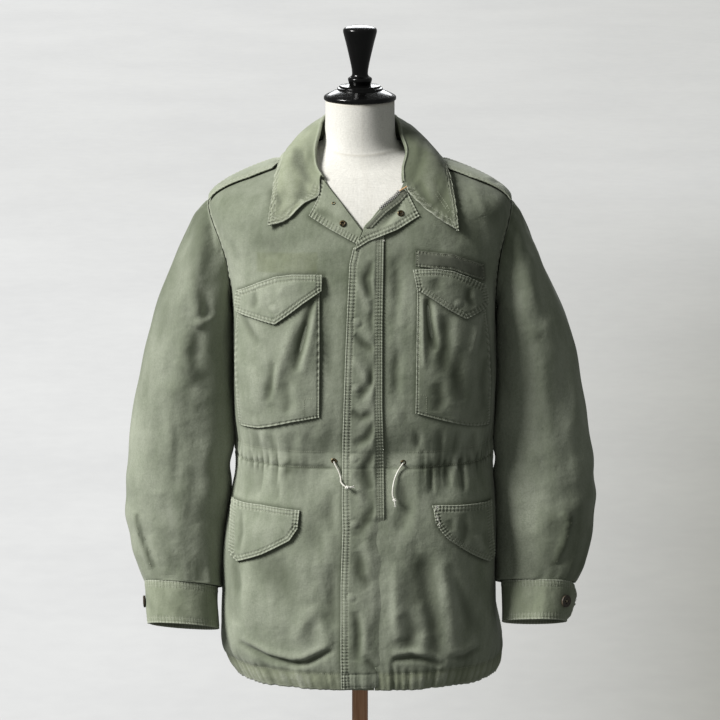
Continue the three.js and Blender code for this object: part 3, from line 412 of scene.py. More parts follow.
def body_quiet(x, z, front):
    """Where pieces lie on the fronts, the cloth under them stays flatter."""
    fly = smooth_step(-46, -30, x) * (1 - smooth_step(40, 52, x))
    pocket = (1 - smooth_step(20, 34, np.abs(np.abs(x) - 122) - 34)) * smooth_step(1082, 1110, z)
    pocket = pocket * (1 - smooth_step(1315, 1345, z))
    hip = (1 - smooth_step(20, 34, np.abs(np.abs(x) - 142) - 34)) * smooth_step(900, 925, z)
    hip = hip * (1 - smooth_step(985, 1000, z))
    hush = np.maximum(0.62 * fly, np.maximum(0.85 * pocket, 0.8 * hip))
    return np.where(front, 1 - hush, 1)


def body_point(turn, level, out=0.0, draped=1.0):
    """A point of the folded cloth, moved out along its normal, and its small relief."""
    p = body_smooth(turn, level)
    front = np.sin(turn) > 0
    relief = drape(turn, p) * body_quiet(p[..., 0], p[..., 2], front) * draped
    height = body_fold(turn, p[..., 2]) + relief + out
    return p + body_normal(turn, level) * np.asarray(height)[..., None], relief


def turn_at(level, axis, value, low, high):
    """The turn at which each level's front or back reaches a given x or y."""
    level = np.asarray(level, float)
    a = np.full(level.shape, low, float)
    b = np.full(level.shape, high, float)
    rising = body_smooth(b, level)[..., axis] > body_smooth(a, level)[..., axis]
    for _ in range(40):
        middle = (a + b) / 2
        over = (body_smooth(middle, level)[..., axis] > value) == rising
        b = np.where(over, middle, b)
        a = np.where(over, a, middle)
    return (a + b) / 2


def solve_body(i, vi, j, vj, turn, level):
    """Turn and level at which the smooth body has two given coordinates."""
    for _ in range(24):
        h = 1e-3
        p = body_smooth(turn, level)
        up = np.where(level + h <= NECK_LEVEL, h, -h)
        pt = (body_smooth(turn + h, level) - p) / h
        pl = (body_smooth(turn, level + up) - p) / up[..., None]
        e1 = vi - p[..., i]
        e2 = vj - p[..., j]
        det = pt[..., i] * pl[..., j] - pl[..., i] * pt[..., j]
        det = np.where(np.abs(det) < 1e-9, 1e-9, det)
        dt = (e1 * pl[..., j] - pl[..., i] * e2) / det
        dl = (pt[..., i] * e2 - e1 * pt[..., j]) / det
        turn = turn + np.clip(dt, -0.2, 0.2)
        level = np.clip(level + np.clip(dl, -1, 1), 0, NECK_LEVEL)
    return turn, level


def nearest_guess(i, vi, j, vj, turns, levels):
    t, l = np.meshgrid(turns, levels, indexing="ij")
    p = body_smooth(t, l).reshape(-1, 3)
    best = []
    for a, b in zip(np.ravel(vi), np.ravel(vj)):
        best.append(np.argmin((p[:, i] - a) ** 2 + (p[:, j] - b) ** 2))
    shape = np.shape(vi)
    return t.ravel()[best].reshape(shape), l.ravel()[best].reshape(shape)


def on_front(x, z, out, draped=1.0):
    """Points of the front cloth at given x and z, moved out."""
    x, z = np.broadcast_arrays(np.asarray(x, float), np.asarray(z, float))
    turns = np.linspace(0.05, math.pi - 0.05, 48)
    guess = nearest_guess(0, x, 2, z, turns, np.linspace(0, NECK_LEVEL, 64))
    turn, level = solve_body(0, x, 2, z, *guess)
    return body_point(turn, level, out, draped)[0]


def on_shoulder(x, y, out):
    """Points of the shoulder cloth at given x and y, moved out."""
    x, y = np.broadcast_arrays(np.asarray(x, float), np.asarray(y, float))
    levels = np.linspace(15, NECK_LEVEL, 30)
    ahead = nearest_guess(0, x, 1, y, np.linspace(0, math.pi, 60), levels)
    behind = nearest_guess(0, x, 1, y, np.linspace(math.pi, TAU, 60), levels)
    turn = np.where(y < 0, ahead[0], behind[0])
    level = np.where(y < 0, ahead[1], behind[1])
    turn, level = solve_body(0, x, 1, y, turn, level)
    return body_point(turn, level, out, 0.0)[0]


# Shader nodes

def put(tree, kind, inputs=None, **settings):
    """Adds a node, with its settings, and its inputs set or linked by name or number."""
    made = tree.nodes.new(kind)
    for key, value in settings.items():
        setattr(made, key, value)
    for key, value in (inputs or {}).items():
        if isinstance(value, bpy.types.NodeSocket):
            tree.links.new(value, made.inputs[key])
        else:
            made.inputs[key].default_value = value
    return made


def calculate(tree, operation, a, b=0.0, clamp=False):
    made = put(tree, "ShaderNodeMath", {0: a, 1: b}, operation=operation, use_clamp=clamp)
    return made.outputs[0]


def blend_colour(tree, factor, a, b, mode="MIX"):
    made = put(tree, "ShaderNodeMix", data_type="RGBA", blend_type=mode)
    for number, value in ((0, factor), (6, a), (7, b)):
        if isinstance(value, bpy.types.NodeSocket):
            tree.links.new(value, made.inputs[number])
        else:
            made.inputs[number].default_value = value
    return made.outputs[2]


def stretch(tree, value, low, high, to_low=0.0, to_high=1.0):
    made = put(tree, "ShaderNodeMapRange", {0: value, 1: low, 2: high, 3: to_low, 4: to_high})
    return made.outputs[0]


def noise(tree, place, scale, detail, **more):
    inputs = {"Vector": place, "Scale": scale, "Detail": detail, **more}
    return put(tree, "ShaderNodeTexNoise", inputs).outputs["Fac"]


def scaled_place(tree, place, scale):
    return put(tree, "ShaderNodeMapping", {"Vector": place, "Scale": scale}).outputs[0]


def group_tree(name, inputs, outputs):
    tree = bpy.data.node_groups.new(name, "ShaderNodeTree")
    for label, kind, value in inputs:
        socket = tree.interface.new_socket(label, in_out="INPUT", socket_type=kind)
        if value is not None:
            socket.default_value = value
    for label, kind in outputs:
        tree.interface.new_socket(label, in_out="OUTPUT", socket_type=kind)
    return tree, tree.nodes.new("NodeGroupInput"), tree.nodes.new("NodeGroupOutput")


def weave_group():
    """Crossed threads on a piece's own UV map, in metres: their height and their tone."""
    inputs = [("Cloth", "NodeSocketVector", None), ("Threads", "NodeSocketFloat", 1.0)]
    outputs = [("Height", "NodeSocketFloat"), ("Tone", "NodeSocketFloat")]
    tree, start, end = group_tree("woven_threads", inputs, outputs)
    cloth = start.outputs["Cloth"]
    threads = start.outputs["Threads"]
    warp_scale = calculate(tree, "MULTIPLY", threads, 560.0)
    weft_scale = calculate(tree, "MULTIPLY", threads, 470.0)
    settings = {"Vector": cloth, "Distortion": 1.4, "Detail": 1.0, "Detail Scale": 2.0}
    warp = put(tree, "ShaderNodeTexWave", {**settings, "Scale": warp_scale}, bands_direction="X")
    weft = put(tree, "ShaderNodeTexWave", {**settings, "Scale": weft_scale}, bands_direction="Y")
    crossed = calculate(tree, "MULTIPLY", weft.outputs["Fac"], 0.45)
    height = calculate(tree, "ADD", calculate(tree, "MULTIPLY", warp.outputs["Fac"], 0.55), crossed)
    slub = noise(tree, scaled_place(tree, cloth, (1.0, 0.12, 1.0)), 900.0, 3.0, Roughness=0.6)
    fine = noise(tree, scaled_place(tree, cloth, (0.15, 1.0, 1.0)), 1100.0, 2.0)
    tone = calculate(tree, "MULTIPLY", calculate(tree, "ADD", slub, fine), 0.5)
    tree.links.new(height, end.inputs["Height"])
    tree.links.new(tone, end.inputs["Tone"])
    return tree


def fading_group():
    """Uneven fading of washed cloth: broad clouds, streaks down the cloth and small flecks."""
    inputs = [("Place", "NodeSocketVector", None), ("Cloud Size", "NodeSocketFloat", 9.0)]
    outputs = [("Clouds", "NodeSocketFloat"), ("Flecks", "NodeSocketFloat")]
    tree, start, end = group_tree("uneven_fading", inputs, outputs)
    place = start.outputs["Place"]
    broad = noise(tree, place, start.outputs["Cloud Size"], 5.0, Roughness=0.62)
    down = scaled_place(tree, place, (1.0, 1.0, 0.22))
    streaks = noise(tree, down, 75.0, 4.0, Roughness=0.55)
    flecks = noise(tree, place, 420.0, 3.0, Roughness=0.7)
    mixed = calculate(tree, "MULTIPLY", broad, 0.65)
    mixed = calculate(tree, "ADD", mixed, calculate(tree, "MULTIPLY", streaks, 0.35))
    tree.links.new(stretch(tree, mixed, 0.33, 0.67), end.inputs["Clouds"])
    tree.links.new(flecks, end.inputs["Flecks"])
    return tree


WEAVE = weave_group()
FADING = fading_group()


def new_material(name, roughness, metallic=0.0):
    material = bpy.data.materials.new(name)
    material.use_nodes = True
    tree = material.node_tree
    shader = tree.nodes["Principled BSDF"]
    shader.inputs["Roughness"].default_value = roughness
    shader.inputs["Metallic"].default_value = metallic
    return material, tree, shader


def object_place(tree):
    return tree.nodes.new("ShaderNodeTexCoord").outputs["Object"]


def attribute(tree, name):
    return put(tree, "ShaderNodeAttribute", attribute_name=name).outputs["Fac"]


def bump(tree, shader, height, distance, strength=1.0, under=None):
    inputs = {"Height": height, "Distance": distance, "Strength": strength}
    made = put(tree, "ShaderNodeBump", inputs)
    if under is not None:
        tree.links.new(under, made.inputs["Normal"])
    tree.links.new(made.outputs[0], shader.inputs["Normal"])
    return made.outputs[0]


# Depths of the cloth's broad dents, fine crumple and threads, in metres
DENT_DEPTH = 0.0048
CRUMPLE_DEPTH = 0.0022
THREAD_DEPTH = 0.00012


def cotton_material(name, dark, middle, light, sunned, threads=1.0, dents_share=1.0):
    """Washed cotton: woven and unevenly faded, lighter with wear and painted light, and darker with
    painted shade and a few marks.
    """
    material, tree, shader = new_material(name, 0.9)
    shader.inputs["Sheen Weight"].default_value = 0.12
    shader.inputs["Sheen Roughness"].default_value = 0.6
    shader.inputs["Specular IOR Level"].default_value = 0.22
    cloth = tree.nodes.new("ShaderNodeUVMap").outputs["UV"]
    place = object_place(tree)
    weave = put(tree, "ShaderNodeGroup", {"Cloth": cloth, "Threads": threads}, node_tree=WEAVE)
    fading = put(tree, "ShaderNodeGroup", {"Place": place}, node_tree=FADING)
    flecks = fading.outputs["Flecks"]
    clouds = stretch(tree, fading.outputs["Clouds"], 0, 1, 0.04, 0.56)
    colour = blend_colour(tree, clouds, middle, light)
    tone = stretch(tree, weave.outputs["Tone"], 0.3, 0.7, 0.86, 1.12)
    shade = calculate(tree, "MULTIPLY", tone, stretch(tree, flecks, 0.3, 0.7, 0.93, 1.06))
    grain = put(tree, "ShaderNodeCombineColor", {0: shade, 1: shade, 2: shade})
    colour = blend_colour(tree, 1.0, colour, grain.outputs[0], "MULTIPLY")
    # The dark colour is blended in for painted shade, and for a few marks such as an old tape's
    # outline.
    for label, target_colour in (("sunned", sunned), ("shade_and_marks", dark)):
        share = calculate(tree, "MULTIPLY", attribute(tree, label), 0.8, True)
        colour = blend_colour(tree, share, colour, target_colour)
    # Lighter where the cloth is worn, and where light is painted on.
    rubbed_and_lit = stretch(tree, flecks, 0.35, 0.6, 0.4, 1.0)
    rubbed_and_lit = calculate(tree, "MULTIPLY", attribute(tree, "wear_and_light"), rubbed_and_lit)
    colour = blend_colour(tree, calculate(tree, "MULTIPLY", rubbed_and_lit, 0.9, True), colour, light)
    tree.links.new(colour, shader.inputs["Base Color"])
    tree.links.new(stretch(tree, flecks, 0.3, 0.7, 0.84, 0.96), shader.inputs["Roughness"])
    hanging = scaled_place(tree, place, (1.0, 1.0, 0.7))
    dents = noise(tree, hanging, 17.0, 2.0, Distortion=0.25)
    dented = bump(tree, shader, dents, DENT_DEPTH * dents_share, 0.8)
    crumple = noise(tree, place, 70.0, 5.0)
    soft = bump(tree, shader, crumple, CRUMPLE_DEPTH * dents_share, 0.6, dented)
    bump(tree, shader, weave.outputs["Height"], THREAD_DEPTH, 0.5, soft)
    return material


def colour_of(red, green, blue):
    return (red, green, blue, 1.0)


# Each dark colour is what painted shade, and a few marks, darken its cloth towards.
SAGE_DARK = colour_of(0.060, 0.072, 0.043)
SAGE = colour_of(0.156, 0.182, 0.123)
SAGE_PALE = colour_of(0.43, 0.455, 0.372)
SAGE_YELLOWED = colour_of(0.232, 0.258, 0.146)
sage_cotton = cotton_material("sage_cotton", SAGE_DARK, SAGE, SAGE_PALE, SAGE_YELLOWED)
TAPE_DARK = colour_of(0.030, 0.035, 0.024)
TAPE_GREEN = colour_of(0.056, 0.063, 0.044)
TAPE_PALE = colour_of(0.230, 0.245, 0.190)
tape_cotton = cotton_material("tape_cotton", TAPE_DARK, TAPE_GREEN, TAPE_PALE, TAPE_GREEN, 0.6, 0.2)
IVORY_DARK = colour_of(0.50, 0.47, 0.40)
IVORY = colour_of(0.65, 0.64, 0.595)
IVORY_PALE = colour_of(0.73, 0.72, 0.68)
IVORY_AGED = colour_of(0.62, 0.56, 0.44)
ivory_canvas = cotton_material("ivory_canvas", IVORY_DARK, IVORY, IVORY_PALE, IVORY_AGED, 0.7, 0.15)


def thread_material(name, colour, pale):
    material, tree, shader = new_material(name, 0.8)
    shader.inputs["Sheen Weight"].default_value = 0.2
    flecks = noise(tree, object_place(tree), 900.0, 2.0)
    mixed = stretch(tree, flecks, 0.35, 0.65)
    mixed = blend_colour(tree, mixed, colour_of(*colour), colour_of(*pale))
    tree.links.new(mixed, shader.inputs["Base Color"])
    bump(tree, shader, flecks, 0.0002, 0.5)
    return material


sage_thread = thread_material("sage_thread", (0.24, 0.26, 0.175), (0.40, 0.42, 0.33))
tan_thread = thread_material("tan_thread", (0.36, 0.30, 0.19), (0.50, 0.44, 0.31))
# Black thread, coloured as painted shadow for the zip's corded edge.
shadow_black_thread = thread_material("shadow_black_thread", (0.012, 0.013, 0.011), (0.03, 0.03, 0.026))
orange_thread = thread_material("orange_thread", (0.50, 0.25, 0.09), (0.68, 0.42, 0.20))
white_thread = thread_material("white_thread", (0.62, 0.61, 0.55), (0.84, 0.83, 0.78))


def cord_material():
    """Braided white cotton: two sets of slanting strands on the cord's own UV map."""
    material, tree, shader = new_material("white_cord", 0.85)
    cloth = tree.nodes.new("ShaderNodeUVMap").outputs["UV"]
    heights = []
    for slant in (1.0, -1.0):
        turned = put(tree, "ShaderNodeMapping", {"Vector": cloth, "Rotation": (0, 0, slant * 0.9)})
        settings = {"Vector": turned.outputs[0], "Scale": 330.0, "Distortion": 0.6}
        heights.append(put(tree, "ShaderNodeTexWave", settings).outputs["Fac"])
    height = calculate(tree, "MAXIMUM", heights[0], heights[1])
    grime = noise(tree, object_place(tree), 160.0, 4.0)
    dirty = stretch(tree, grime, 0.4, 0.75, 0.0, 0.7)
    colour = blend_colour(tree, dirty, colour_of(0.80, 0.79, 0.73), colour_of(0.50, 0.48, 0.38))
    shade = stretch(tree, height, 0.2, 0.9, 0.3, 0.0)
    colour = blend_colour(tree, shade, colour, colour_of(0.34, 0.33, 0.26))
    tree.links.new(colour, shader.inputs["Base Color"])
    bump(tree, shader, height, 0.0003, 0.8)
    return material


white_cord = cord_material()


METAL_ROUGHNESS = 0.42


def metal_material(name, colour, wear_and_light_colour):
    """Old metal: darker plating with rubbed, brighter flecks and fine pitting."""
    material, tree, shader = new_material(name, METAL_ROUGHNESS, 0.9)
    place = object_place(tree)
    blotches = noise(tree, place, 420.0, 5.0)
    mixed = stretch(tree, blotches, 0.48, 0.66)
    mixed = blend_colour(tree, mixed, colour_of(*colour), colour_of(*wear_and_light_colour))
    tree.links.new(mixed, shader.inputs["Base Color"])
    rough = stretch(tree, blotches, 0.35, 0.65, METAL_ROUGHNESS + 0.15, METAL_ROUGHNESS - 0.1)
    tree.links.new(rough, shader.inputs["Roughness"])
    bump(tree, shader, noise(tree, place, 2200.0, 2.0), 0.0001, 0.4)
    return material


black_brass = metal_material("black_brass", (0.025, 0.024, 0.02), (0.30, 0.22, 0.11))
zip_metal = metal_material("zip_metal", (0.62, 0.61, 0.58), (0.86, 0.85, 0.81))


def button_material():
    """Brown pressed resin with a faint cloudy grain."""
    material, tree, shader = new_material("brown_resin", 0.4)
    clouds = noise(tree, object_place(tree), 260.0, 5.0, Distortion=0.8)
    dark = colour_of(0.022, 0.016, 0.011)
    pale = colour_of(0.085, 0.065, 0.044)
    colour = blend_colour(tree, stretch(tree, clouds, 0.38, 0.68), dark, pale)
    tree.links.new(colour, shader.inputs["Base Color"])
    tree.links.new(stretch(tree, clouds, 0.3, 0.7, 0.32, 0.55), shader.inputs["Roughness"])
    bump(tree, shader, clouds, 0.00012, 0.35)
    return material


brown_resin = button_material()


def wood_material(name, dark, pale, roughness, coat, grain_bump, gloss=0.5):
    """Turned wood: long grain along Z, with pores, under a finish."""
    material, tree, shader = new_material(name, roughness)
    shader.inputs["Specular IOR Level"].default_value = gloss
    shader.inputs["Coat Weight"].default_value = coat
    shader.inputs["Coat Roughness"].default_value = 0.08
    long_way = scaled_place(tree, object_place(tree), (1.0, 1.0, 0.06))
    grain = noise(tree, long_way, 190.0, 6.0, Distortion=1.2)
    pores = noise(tree, long_way, 900.0, 2.0)
    colour = blend_colour(tree, stretch(tree, grain, 0.36, 0.64), dark, pale)
    colour = blend_colour(tree, stretch(tree, pores, 0.58, 0.7, 0.0, 0.6), colour, dark)
    tree.links.new(colour, shader.inputs["Base Color"])
    rough = stretch(tree, grain, 0.3, 0.7, roughness - 0.06, roughness + 0.08)
    tree.links.new(rough, shader.inputs["Roughness"])
    bump(tree, shader, pores, grain_bump, 0.35)
    return material


black_lacquer = wood_material(
    "black_lacquer", colour_of(0.0015, 0.0015, 0.0015), colour_of(0.003, 0.003, 0.003),
    roughness=0.2, coat=0.22, grain_bump=0.00003, gloss=0.25)
red_wood = wood_material(
    "red_wood", colour_of(0.50, 0.225, 0.11), colour_of(0.70, 0.38, 0.21),
    roughness=0.42, coat=0.2, grain_bump=0.0002)


PLASTER_PALE = colour_of(0.575, 0.58, 0.585)
PLASTER_SHADED = colour_of(0.28, 0.28, 0.26)
PLASTER_SPECK = colour_of(0.93, 0.93, 0.935)


def plaster_material():
    """Pale trowelled plaster of the studio floor, with painted shade that darkens it towards the
    right.
    """
    material, tree, shader = new_material("pale_plaster", 0.9)
    place = object_place(tree)
    broad = calculate(tree, "MULTIPLY", noise(tree, place, 1.1, 7.0, Roughness=0.6), 0.7)
    fine = calculate(tree, "MULTIPLY", noise(tree, place, 16.0, 5.0), 0.3)
    mixed = calculate(tree, "ADD", broad, fine)
    parts = put(tree, "ShaderNodeSeparateXYZ", {0: place})
    # Painted shade: darker towards the right, over a shorter width near the stand than far off.
    near = stretch(tree, parts.outputs[1], 2.0, 9.0, 1.0, 0.15)
    across = stretch(tree, calculate(tree, "MULTIPLY", parts.outputs[0], near), -0.75, 0.75)
    across = calculate(tree, "MULTIPLY", across, across)
    colour = blend_colour(tree, across, PLASTER_PALE, PLASTER_SHADED)
    tint = blend_colour(tree, stretch(tree, mixed, 0.38, 0.62), PLASTER_SPECK, colour_of(1, 1, 1))
    colour = blend_colour(tree, 1.0, colour, tint, "MULTIPLY")
    tree.links.new(colour, shader.inputs["Base Color"])
    bump(tree, shader, mixed, 0.004, 0.25)
    return material


# Meshes

def add_mesh(name, points, faces, material, replaces=(), smooth=True):
    """A piece in metres from points in millimetres; it rides on the one body."""
    mesh = bpy.data.meshes.new(name)
    mesh.from_pydata((np.asarray(points) * MM).tolist(), [], faces)
    mesh.polygons.foreach_set("use_smooth", [smooth] * len(mesh.polygons))
    mesh.materials.append(material)
    piece = bpy.data.objects.new(name, mesh)
    bpy.context.scene.collection.objects.link(piece)
    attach(piece, "root")
    for node in replaces:
        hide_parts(node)
    return piece


def arc_lengths(grid, axis):
    steps = np.linalg.norm(np.diff(grid, axis=axis), axis=-1)
    zero = np.zeros_like(np.take(steps, [0], axis=axis))
    return np.concatenate([zero, np.cumsum(steps, axis=axis)], axis=axis)


def grid_normals(grid, flip, wrap):
    if wrap:
        across = np.roll(grid, -1, axis=1) - np.roll(grid, 1, axis=1)
    else:
        across = np.gradient(grid, axis=1)
    up = np.gradient(grid, axis=0)
    normals = unit(np.cross(across, up))
    return -normals if flip else normals


def border_loops(rows, cols, wrap):
    """Point numbers round the edge of a grid, with the neighbour inside of each."""
    at = np.arange(rows * cols).reshape(rows, cols)
    if wrap:
        return [(at[0], at[1]), (at[-1][::-1], at[-2][::-1])]
    loop = np.concatenate([at[0, :-1], at[:-1, -1], at[-1, :0:-1], at[:0:-1, 0]])
    row, col = np.divmod(loop, cols)
    inside = at[np.clip(row, 1, rows - 2), np.clip(col, 1, cols - 2)]
    return [(loop, inside)]


def cloth_piece(name, grid, wall, material, replaces, flip=False, wrap=False,
                wear_and_light=0.0, shade_and_marks=0.0, sunned=0.0):
    """A closed thin shell of cloth on a grid of outer points, with rounded edges."""
    rows, cols = grid.shape[:2]
    normals = grid_normals(grid, flip, wrap).reshape(-1, 3)
    outer = grid.reshape(-1, 3)
    count = len(outer)
    points = [outer, outer - normals * wall]
    at = np.arange(count).reshape(rows, cols)
    nxt = np.roll(at, -1, axis=1) if wrap else at[:, 1:]
    here = at if wrap else at[:, :-1]
    quads = np.stack([here[:-1], nxt[:-1], nxt[1:], here[1:]], axis=-1).reshape(-1, 4)
    faces = [quads, quads[:, ::-1] + count]
    sources = [np.arange(count), np.arange(count)]
    total = 2 * count
    for loop, inside in border_loops(rows, cols, wrap):
        outward = unit(outer[loop] - outer[inside])
        outward = unit(outward - normals[loop] * np.sum(outward * normals[loop], axis=1)[:, None])
        points.append(outer[loop] - normals[loop] * wall / 2 + outward * wall * 0.32)
        middle = total + np.arange(len(loop))
        total += len(loop)
        sources.append(loop)
        after = np.roll(loop, -1)
        middle_after = np.roll(middle, -1)
        faces.append(np.stack([after, loop, middle, middle_after], axis=1))
        faces.append(np.stack([middle_after, middle, loop + count, after + count], axis=1))
    faces = np.concatenate(faces)
    if flip:
        faces = faces[:, ::-1]
    source = np.concatenate(sources)
    points = np.concatenate(points)
    piece = add_mesh(name, points, faces.tolist(), material, replaces)
    mesh = piece.data
    for label, values in (("wear_and_light", wear_and_light), ("shade_and_marks", shade_and_marks), ("sunned", sunned)):
        spread = np.broadcast_to(np.asarray(values, float), (rows, cols)).reshape(-1)[source]
        held_values = mesh.attributes.new(label, "FLOAT", "POINT")
        held_values.data.foreach_set("value", np.clip(spread, 0, 1).astype(np.float32))
    across = arc_lengths(grid, 1)
    up = arc_lengths(grid, 0)
    middle_u = across[:, [cols // 2]]
    u = ((across - middle_u) * MM).reshape(-1)[source]
    v = (up * MM).reshape(-1)[source]
    corners = np.empty(len(mesh.loops), dtype=np.int32)
    mesh.loops.foreach_get("vertex_index", corners)
    loop_u = u[corners].reshape(-1, 4)
    loop_v = v[corners]
    if wrap:
        gap = np.linalg.norm(grid[0, -1] - grid[0, 0]) * MM
        whole = (across[0, -1]) * MM + gap
        jump = loop_u < loop_u.max(axis=1, keepdims=True) - 0.5 * whole
        loop_u = np.where(jump, loop_u + whole, loop_u)
    layer = mesh.uv_layers.new(name="UVMap")
    both = np.stack([loop_u.reshape(-1), loop_v], axis=1).reshape(-1)
    layer.data.foreach_set("uv", both.astype(np.float32))
    area = piece_area(grid, wrap)
    width = float(across[:, -1].max()) * MM
    length = float(up[-1].max()) * MM
    if wrap:
        width += float(np.linalg.norm(grid[:, -1] - grid[:, 0], axis=1).max()) * MM
    width = max(width, 0.0101)
    length = max(length, 0.0101)
    area = min(area, width * length)
    return piece


def piece_area(grid, wrap):
    if wrap:
        grid = np.concatenate([grid, grid[:, :1]], axis=1)
    a = grid[:-1, :-1]
    b = grid[:-1, 1:]
    c = grid[1:, 1:]
    d = grid[1:, :-1]
    cross = np.cross(c - a, d - b)
    return float(np.linalg.norm(cross, axis=-1).sum() / 2) * MM * MM


# Stitching: a short pillow of thread at each stitch
STITCH_PITCH = 3.1
STITCH_LENGTH = 2.3
STITCH_HALF_WIDTH = 0.32
STITCH_RISE = 0.42
PATH_STEP = 1.4
stitch_rows = {}


def sew(place, path, normals, material=None):
    """Notes a row of stitches along a dense path; add_stitching makes them all at the end."""
    stitch_rows.setdefault((place, material or sage_thread), []).append((path, normals))


def stitch_shape(path, normals):
    """The points and faces of the stitches along one path."""
    along = line_lengths(path)
    count = int(along[-1] / STITCH_PITCH)
    if count < 1:
        return np.zeros((0, 3)), []
    starts = (np.arange(count) + 0.5) * (along[-1] / count) - STITCH_LENGTH / 2
    marks = []
    ups = []
    for share in (0.0, 0.25, 0.75, 1.0):
        s = np.clip(starts + STITCH_LENGTH * share, 0, along[-1])
        marks.append(places_at(s, along, path))
        ups.append(unit(places_at(s, along, normals)))
    run = unit(marks[3] - marks[0])
    side = unit(np.cross(run, ups[1]))
    corners = []
    for mark, up, height in zip(marks, ups, (-0.15, STITCH_RISE, STITCH_RISE, -0.15)):
        wide = STITCH_HALF_WIDTH if height > 0 else STITCH_HALF_WIDTH * 0.8
        corners.append(mark - side * wide + up * min(height, 0.1))
        corners.append(mark + up * height)
        corners.append(mark + side * wide + up * min(height, 0.1))
    points = np.stack(corners, axis=1).reshape(-1, 3)
    faces = []
    for k in range(count):
        base = 12 * k
        for i in range(3):
            a = base + 3 * i
            faces.append((a, a + 1, a + 4, a + 3))
            faces.append((a + 1, a + 2, a + 5, a + 4))
    return points, faces


def add_stitching():
    for (place, material), rows in stitch_rows.items():
        points, faces = join_shapes([stitch_shape(path, normals) for path, normals in rows])
        if faces:
            label = "stitching_" + place
            if material is not sage_thread:
                label += "_" + material.name
            add_mesh(label, points, faces, material)


def inset_row(grid, normals, side, inset, trim=(0.0, 0.0)):
    """A path on a grid at a set distance inside one of its sides, and its normals."""
    if side in ("foot", "head"):
        turned = np.swapaxes(grid, 0, 1), np.swapaxes(normals, 0, 1)
        return inset_row(*turned, "left" if side == "foot" else "right", inset, trim)
    lengths = arc_lengths(grid, 1)
    want = np.full(len(grid), float(inset))
    if side == "right":
        want = lengths[:, -1] - inset
    want = np.clip(want, 0, lengths[:, -1])
    path = np.array([places_at(w, along, row) for w, along, row in zip(want, lengths, grid)])
    ups = np.array([places_at(w, along, row) for w, along, row in zip(want, lengths, normals)])
    along = line_lengths(path)
    marks = np.linspace(0, along[-1], max(int(along[-1] / PATH_STEP), 2) + 1)
    marks = marks[(marks >= trim[0]) & (marks <= along[-1] - trim[1])]
    return places_at(marks, along, path), unit(places_at(marks, along, ups))


# The waist cord's two free ends, made first: x, z and height above the cloth, as in the part
CORD_RADIUS = 1.15
CORD_RIGHT = np.array([
    [-37.2, 1053.2, 3.4],
    [-34.5, 1047.5, 4.2],
    [-30.5, 1040, 4.0],
    [-27.4, 1031, 4.0],
    [-26.8, 1024.5, 5.8],
    [-22.5, 1020, 8.4],
    [-17.5, 1017.5, 9.0],
])
CORD_LEFT = np.array([
    [61.4, 1050.8, 3.4],
    [58.2, 1046, 4.2],
    [53.0, 1037, 4.0],
    [48.8, 1026, 4.0],
    [46.6, 1014, 4.0],
    [46.4, 1006, 4.4],
    [47.4, 1001.5, 5.2],
    [49.3, 997.5, 5.2],
])
CORD_POINTS = 25


def tube(centres, radii, sides):
    """Rings round a line of points, closed at both ends; returns points and faces."""
    run = unit(np.gradient(centres, axis=0))
    a = np.cross(run, [0.0, -1.0, 0.0])
    upright = np.linalg.norm(a, axis=1, keepdims=True) < 0.1
    a = unit(np.where(upright, np.cross(run, [1.0, 0, 0]), a))
    b = np.cross(run, a)
    t = np.arange(sides) * TAU / sides
    radii = np.broadcast_to(np.asarray(radii, float), (len(centres),))
    ring = a[:, None] * np.cos(t)[None, :, None] + b[:, None] * np.sin(t)[None, :, None]
    points = (centres[:, None] + ring * radii[:, None, None]).reshape(-1, 3)
    faces = []
    for r in range(len(centres) - 1):
        for c in range(sides):
            d = (c + 1) % sides
            faces.append((r * sides + c, r * sides + d, (r + 1) * sides + d, (r + 1) * sides + c))
    last = (len(centres) - 1) * sides
    faces.append(tuple(range(sides))[::-1])
    faces.append(tuple(last + c for c in range(sides)))
    return points, faces


def join_shapes(shapes):
    points = []
    faces = []
    start = 0
    for shape_points, shape_faces in shapes:
        points.append(np.asarray(shape_points))
        faces.extend(tuple(i + start for i in face) for face in shape_faces)
        start += len(shape_points)
    return np.concatenate(points), faces


def give_tube_uv(piece, length, rings, sides, radius):
    mesh = piece.data
    layer = mesh.uv_layers.new(name="UVMap")
    for polygon in mesh.polygons:
        numbers = [mesh.loops[i].vertex_index for i in polygon.loop_indices]
        columns = [n % sides for n in numbers]
        wraps = max(columns) - min(columns) > sides // 2
        for loop, n, c in zip(polygon.loop_indices, numbers, columns):
            turn = c + (sides if wraps and c < sides // 2 else 0)
            around = turn / sides * TAU * radius * MM
            layer.data[loop].uv = (around, (n // sides) / rings * length)


def smooth_line(points, count):
    return smooth_row(np.asarray(points, float), np.linspace(0, len(points) - 1, count))


def knot_shape(centre, run, size):
    """An overhand knot: a small closed-up loop of the cord wound round its own line."""
    side = unit(np.cross(run, [0.0, -1.0, 0.0]))
    away = np.cross(side, run)
    t = np.linspace(0, 1, 42)
    turn = t * TAU * 1.8 + 0.4
    reach = size * (0.62 + 0.12 * np.sin(turn * 1.7))
    centres = centre + side * (reach * np.cos(turn))[:, None]
    centres = centres + away * (reach * 0.75 * np.sin(turn) + 0.3)[:, None]
    centres = centres + run * (size * 1.25 * (t - 0.5) + 0.5 * np.sin(turn))[:, None]
    return tube(centres, CORD_RADIUS * 0.92, 10)


